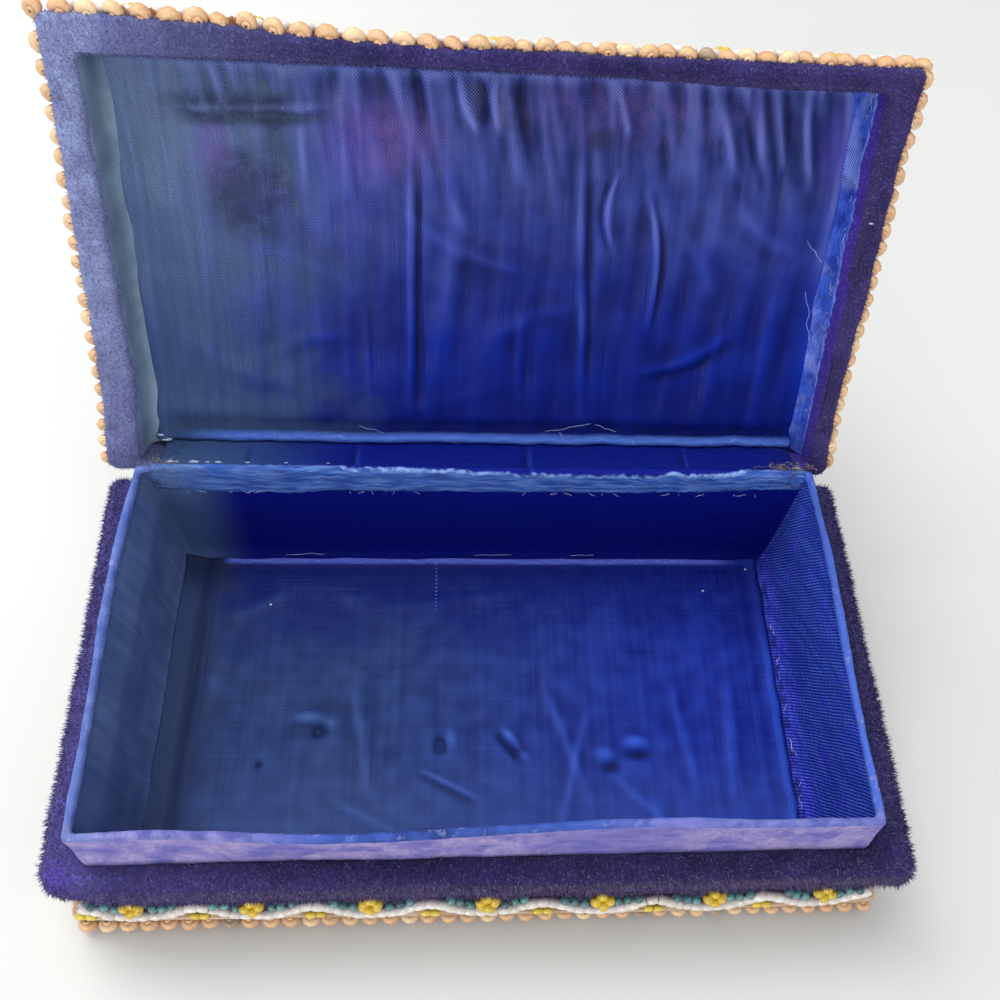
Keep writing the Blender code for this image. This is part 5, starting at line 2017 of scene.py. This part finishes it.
# Stage, light and camera ------------------------------------------------------------------

def make_stage():
    half = 3.0
    mesh = bpy.data.meshes.new("floor")
    mesh.from_pydata([(-half, -half, 0.0), (half, -half, 0.0), (half, half, 0.0),
                      (-half, half, 0.0)], [], [(0, 1, 2, 3)])
    floor = new_object("floor", mesh)
    made = Finish("pale_table", Roughness=0.4, Specular_IOR_Level=0.3)
    made.feed(made.shader.inputs["Base Color"], dye(208, 208, 205))
    mesh.materials.append(made.material)


def area_light(name, place, aim, size, power, colour):
    data = bpy.data.lights.new(name, "AREA")
    data.shape = "DISK"
    data.size = size
    data.energy = power
    data.color = colour
    made = new_object(name, data)
    made.location = place
    way = Vector(aim) - Vector(place)
    made.rotation_euler = way.to_track_quat("-Z", "Y").to_euler()


def make_light():
    world = bpy.data.worlds.new("soft_room")
    world.use_nodes = True
    sky = world.node_tree.nodes["Background"]
    sky.inputs["Color"].default_value = (0.93, 0.96, 1.0, 1.0)
    sky.inputs["Strength"].default_value = 0.60
    bpy.context.scene.world = world
    middle = (0.0, 0.0, 0.02)
    area_light("window", (-0.55, 0.55, 0.75), middle, 0.8, 6.2, (1.0, 0.99, 0.97))
    area_light("ceiling", (-0.15, 0.22, 0.95), middle, 0.6, 4.6, (1.0, 1.0, 1.0))
    area_light("fill", (0.7, -0.5, 0.9), middle, 1.0, 2.0, (0.96, 0.98, 1.0))
    area_light("front", (-0.32, -0.92, 0.26), (0.0, 0.06, 0.06), 0.4, 4.4, (1.0, 0.99, 0.98))
    bpy.context.scene.view_settings.view_transform = "Standard"


def make_camera():
    data = bpy.data.cameras.new("camera")
    data.sensor_width = 36.0
    data.lens = 37.946
    data.shift_x = -0.0504
    data.shift_y = 0.0206
    data.clip_start = 0.001
    camera = new_object("camera", data)
    camera.location = (-0.0057, -0.0856, 0.2042)
    camera.rotation_euler = [math.radians(a) for a in (33.0389, -4.4204, -2.4616)]
    bpy.context.scene.camera = camera


def settle(made, body, slot, *nodes):
    """Hand a finished piece over to the frame."""
    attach(made, body)
    if nodes:
        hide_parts(*nodes)
    return made


make_camera()
make_light()
make_stage()

SIDES = ("front", "left", "right")
flower_nodes = [n for n in NODES if n.startswith("flower_")]

cover = make_velvet_cover()
cover_pile = pile_on("velvet_cover_pile", cover, "pile", 3.9, 1.0, 0.085, (0.1, -0.2, -0.1), 3,
                     BASE_VELVET)
fringe = pile_on("velvet_fringe", cover, "fringe", 4.0, 1.3, 0.10, (0.0, -0.1, 0.0), 21,
                 BASE_VELVET, 0.6)
settle(cover, "base", "velvet", "base_walls")
settle(fringe, "base", "velvet")
settle(cover_pile, "base", "velvet")
settle(make_card_ledge(), "base", "card", "card_ledge")
settle(make_tray(), "base", "satin", "tray")
floor_cover = settle(make_floor_cover(), "base", "satin", "tray_floor_pad")

white, teal, tube, yellow = make_base_beads()
settle(white, "base", "white_bead", *(f"bead_wave_{side}" for side in SIDES))
settle(teal, "base", "teal_bead")
settle(tube, "base", "green_bead")
settle(yellow, "base", "yellow_bead", *flower_nodes)
settle(make_foot_shells(), "base", "snail_shell",
       *(f"foot_shells_{side}" for side in (*SIDES, "back")))
settle(make_tray_threads(), "base", "thread")
settle(make_dark_threads(), "base", "thread")
settle(make_glue("slit_glue", slit_glue()), "base", "thread")
settle(make_glue("lid_glue", lid_glue()), "lid", "thread")

materials = NODES["foot_board"].data.materials
materials.clear()
materials.append(BOARD)

lid = make_lid_velvet()
lid_pile = pile_on("lid_velvet_pile", lid, "pile", 2.9, 0.75, 0.09, (0.0, -0.4, 0.25), 5,
                   LID_VELVET)
top_pile = pile_on("lid_top_pile", lid, "top_pile", 1.6, 0.8, 0.10, (0.0, 0.3, -0.3), 9,
                   LID_VELVET)
settle(lid, "lid", "velvet", "lid_shell")
settle(lid_pile, "lid", "velvet")
settle(top_pile, "lid", "velvet")
lining = settle(make_lid_lining(), "lid", "satin", "lid_lining")
settle(make_recess_strips(), "lid", "satin_tape")
settle(make_lid_threads(), "lid", "thread")
white_lid, yellow_lid = make_lid_beads()
settle(white_lid, "lid", "white_bead", *(f"lid_bead_wave_{side}" for side in SIDES))
settle(yellow_lid, "lid", "yellow_bead")
settle(make_lid_shells(), "lid", "snail_shell", *(f"lid_shells_{side}" for side in SIDES))

tape = make_hinge_tape()
tape_end = opened(np.array([[0.0, LID_TAPE_HIGH[1], MOUTH_Z]]))[0] * TO_METRES
TRAY_HIGH[1] * TO_METRES
RIM_Z * TO_METRES
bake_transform(tape)
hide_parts("hinge_tape_base", "hinge_tape_lid")

for shape in (BEAD, TEAL_BEAD, SNAIL, FLOWER):
    bpy.data.objects.remove(shape)
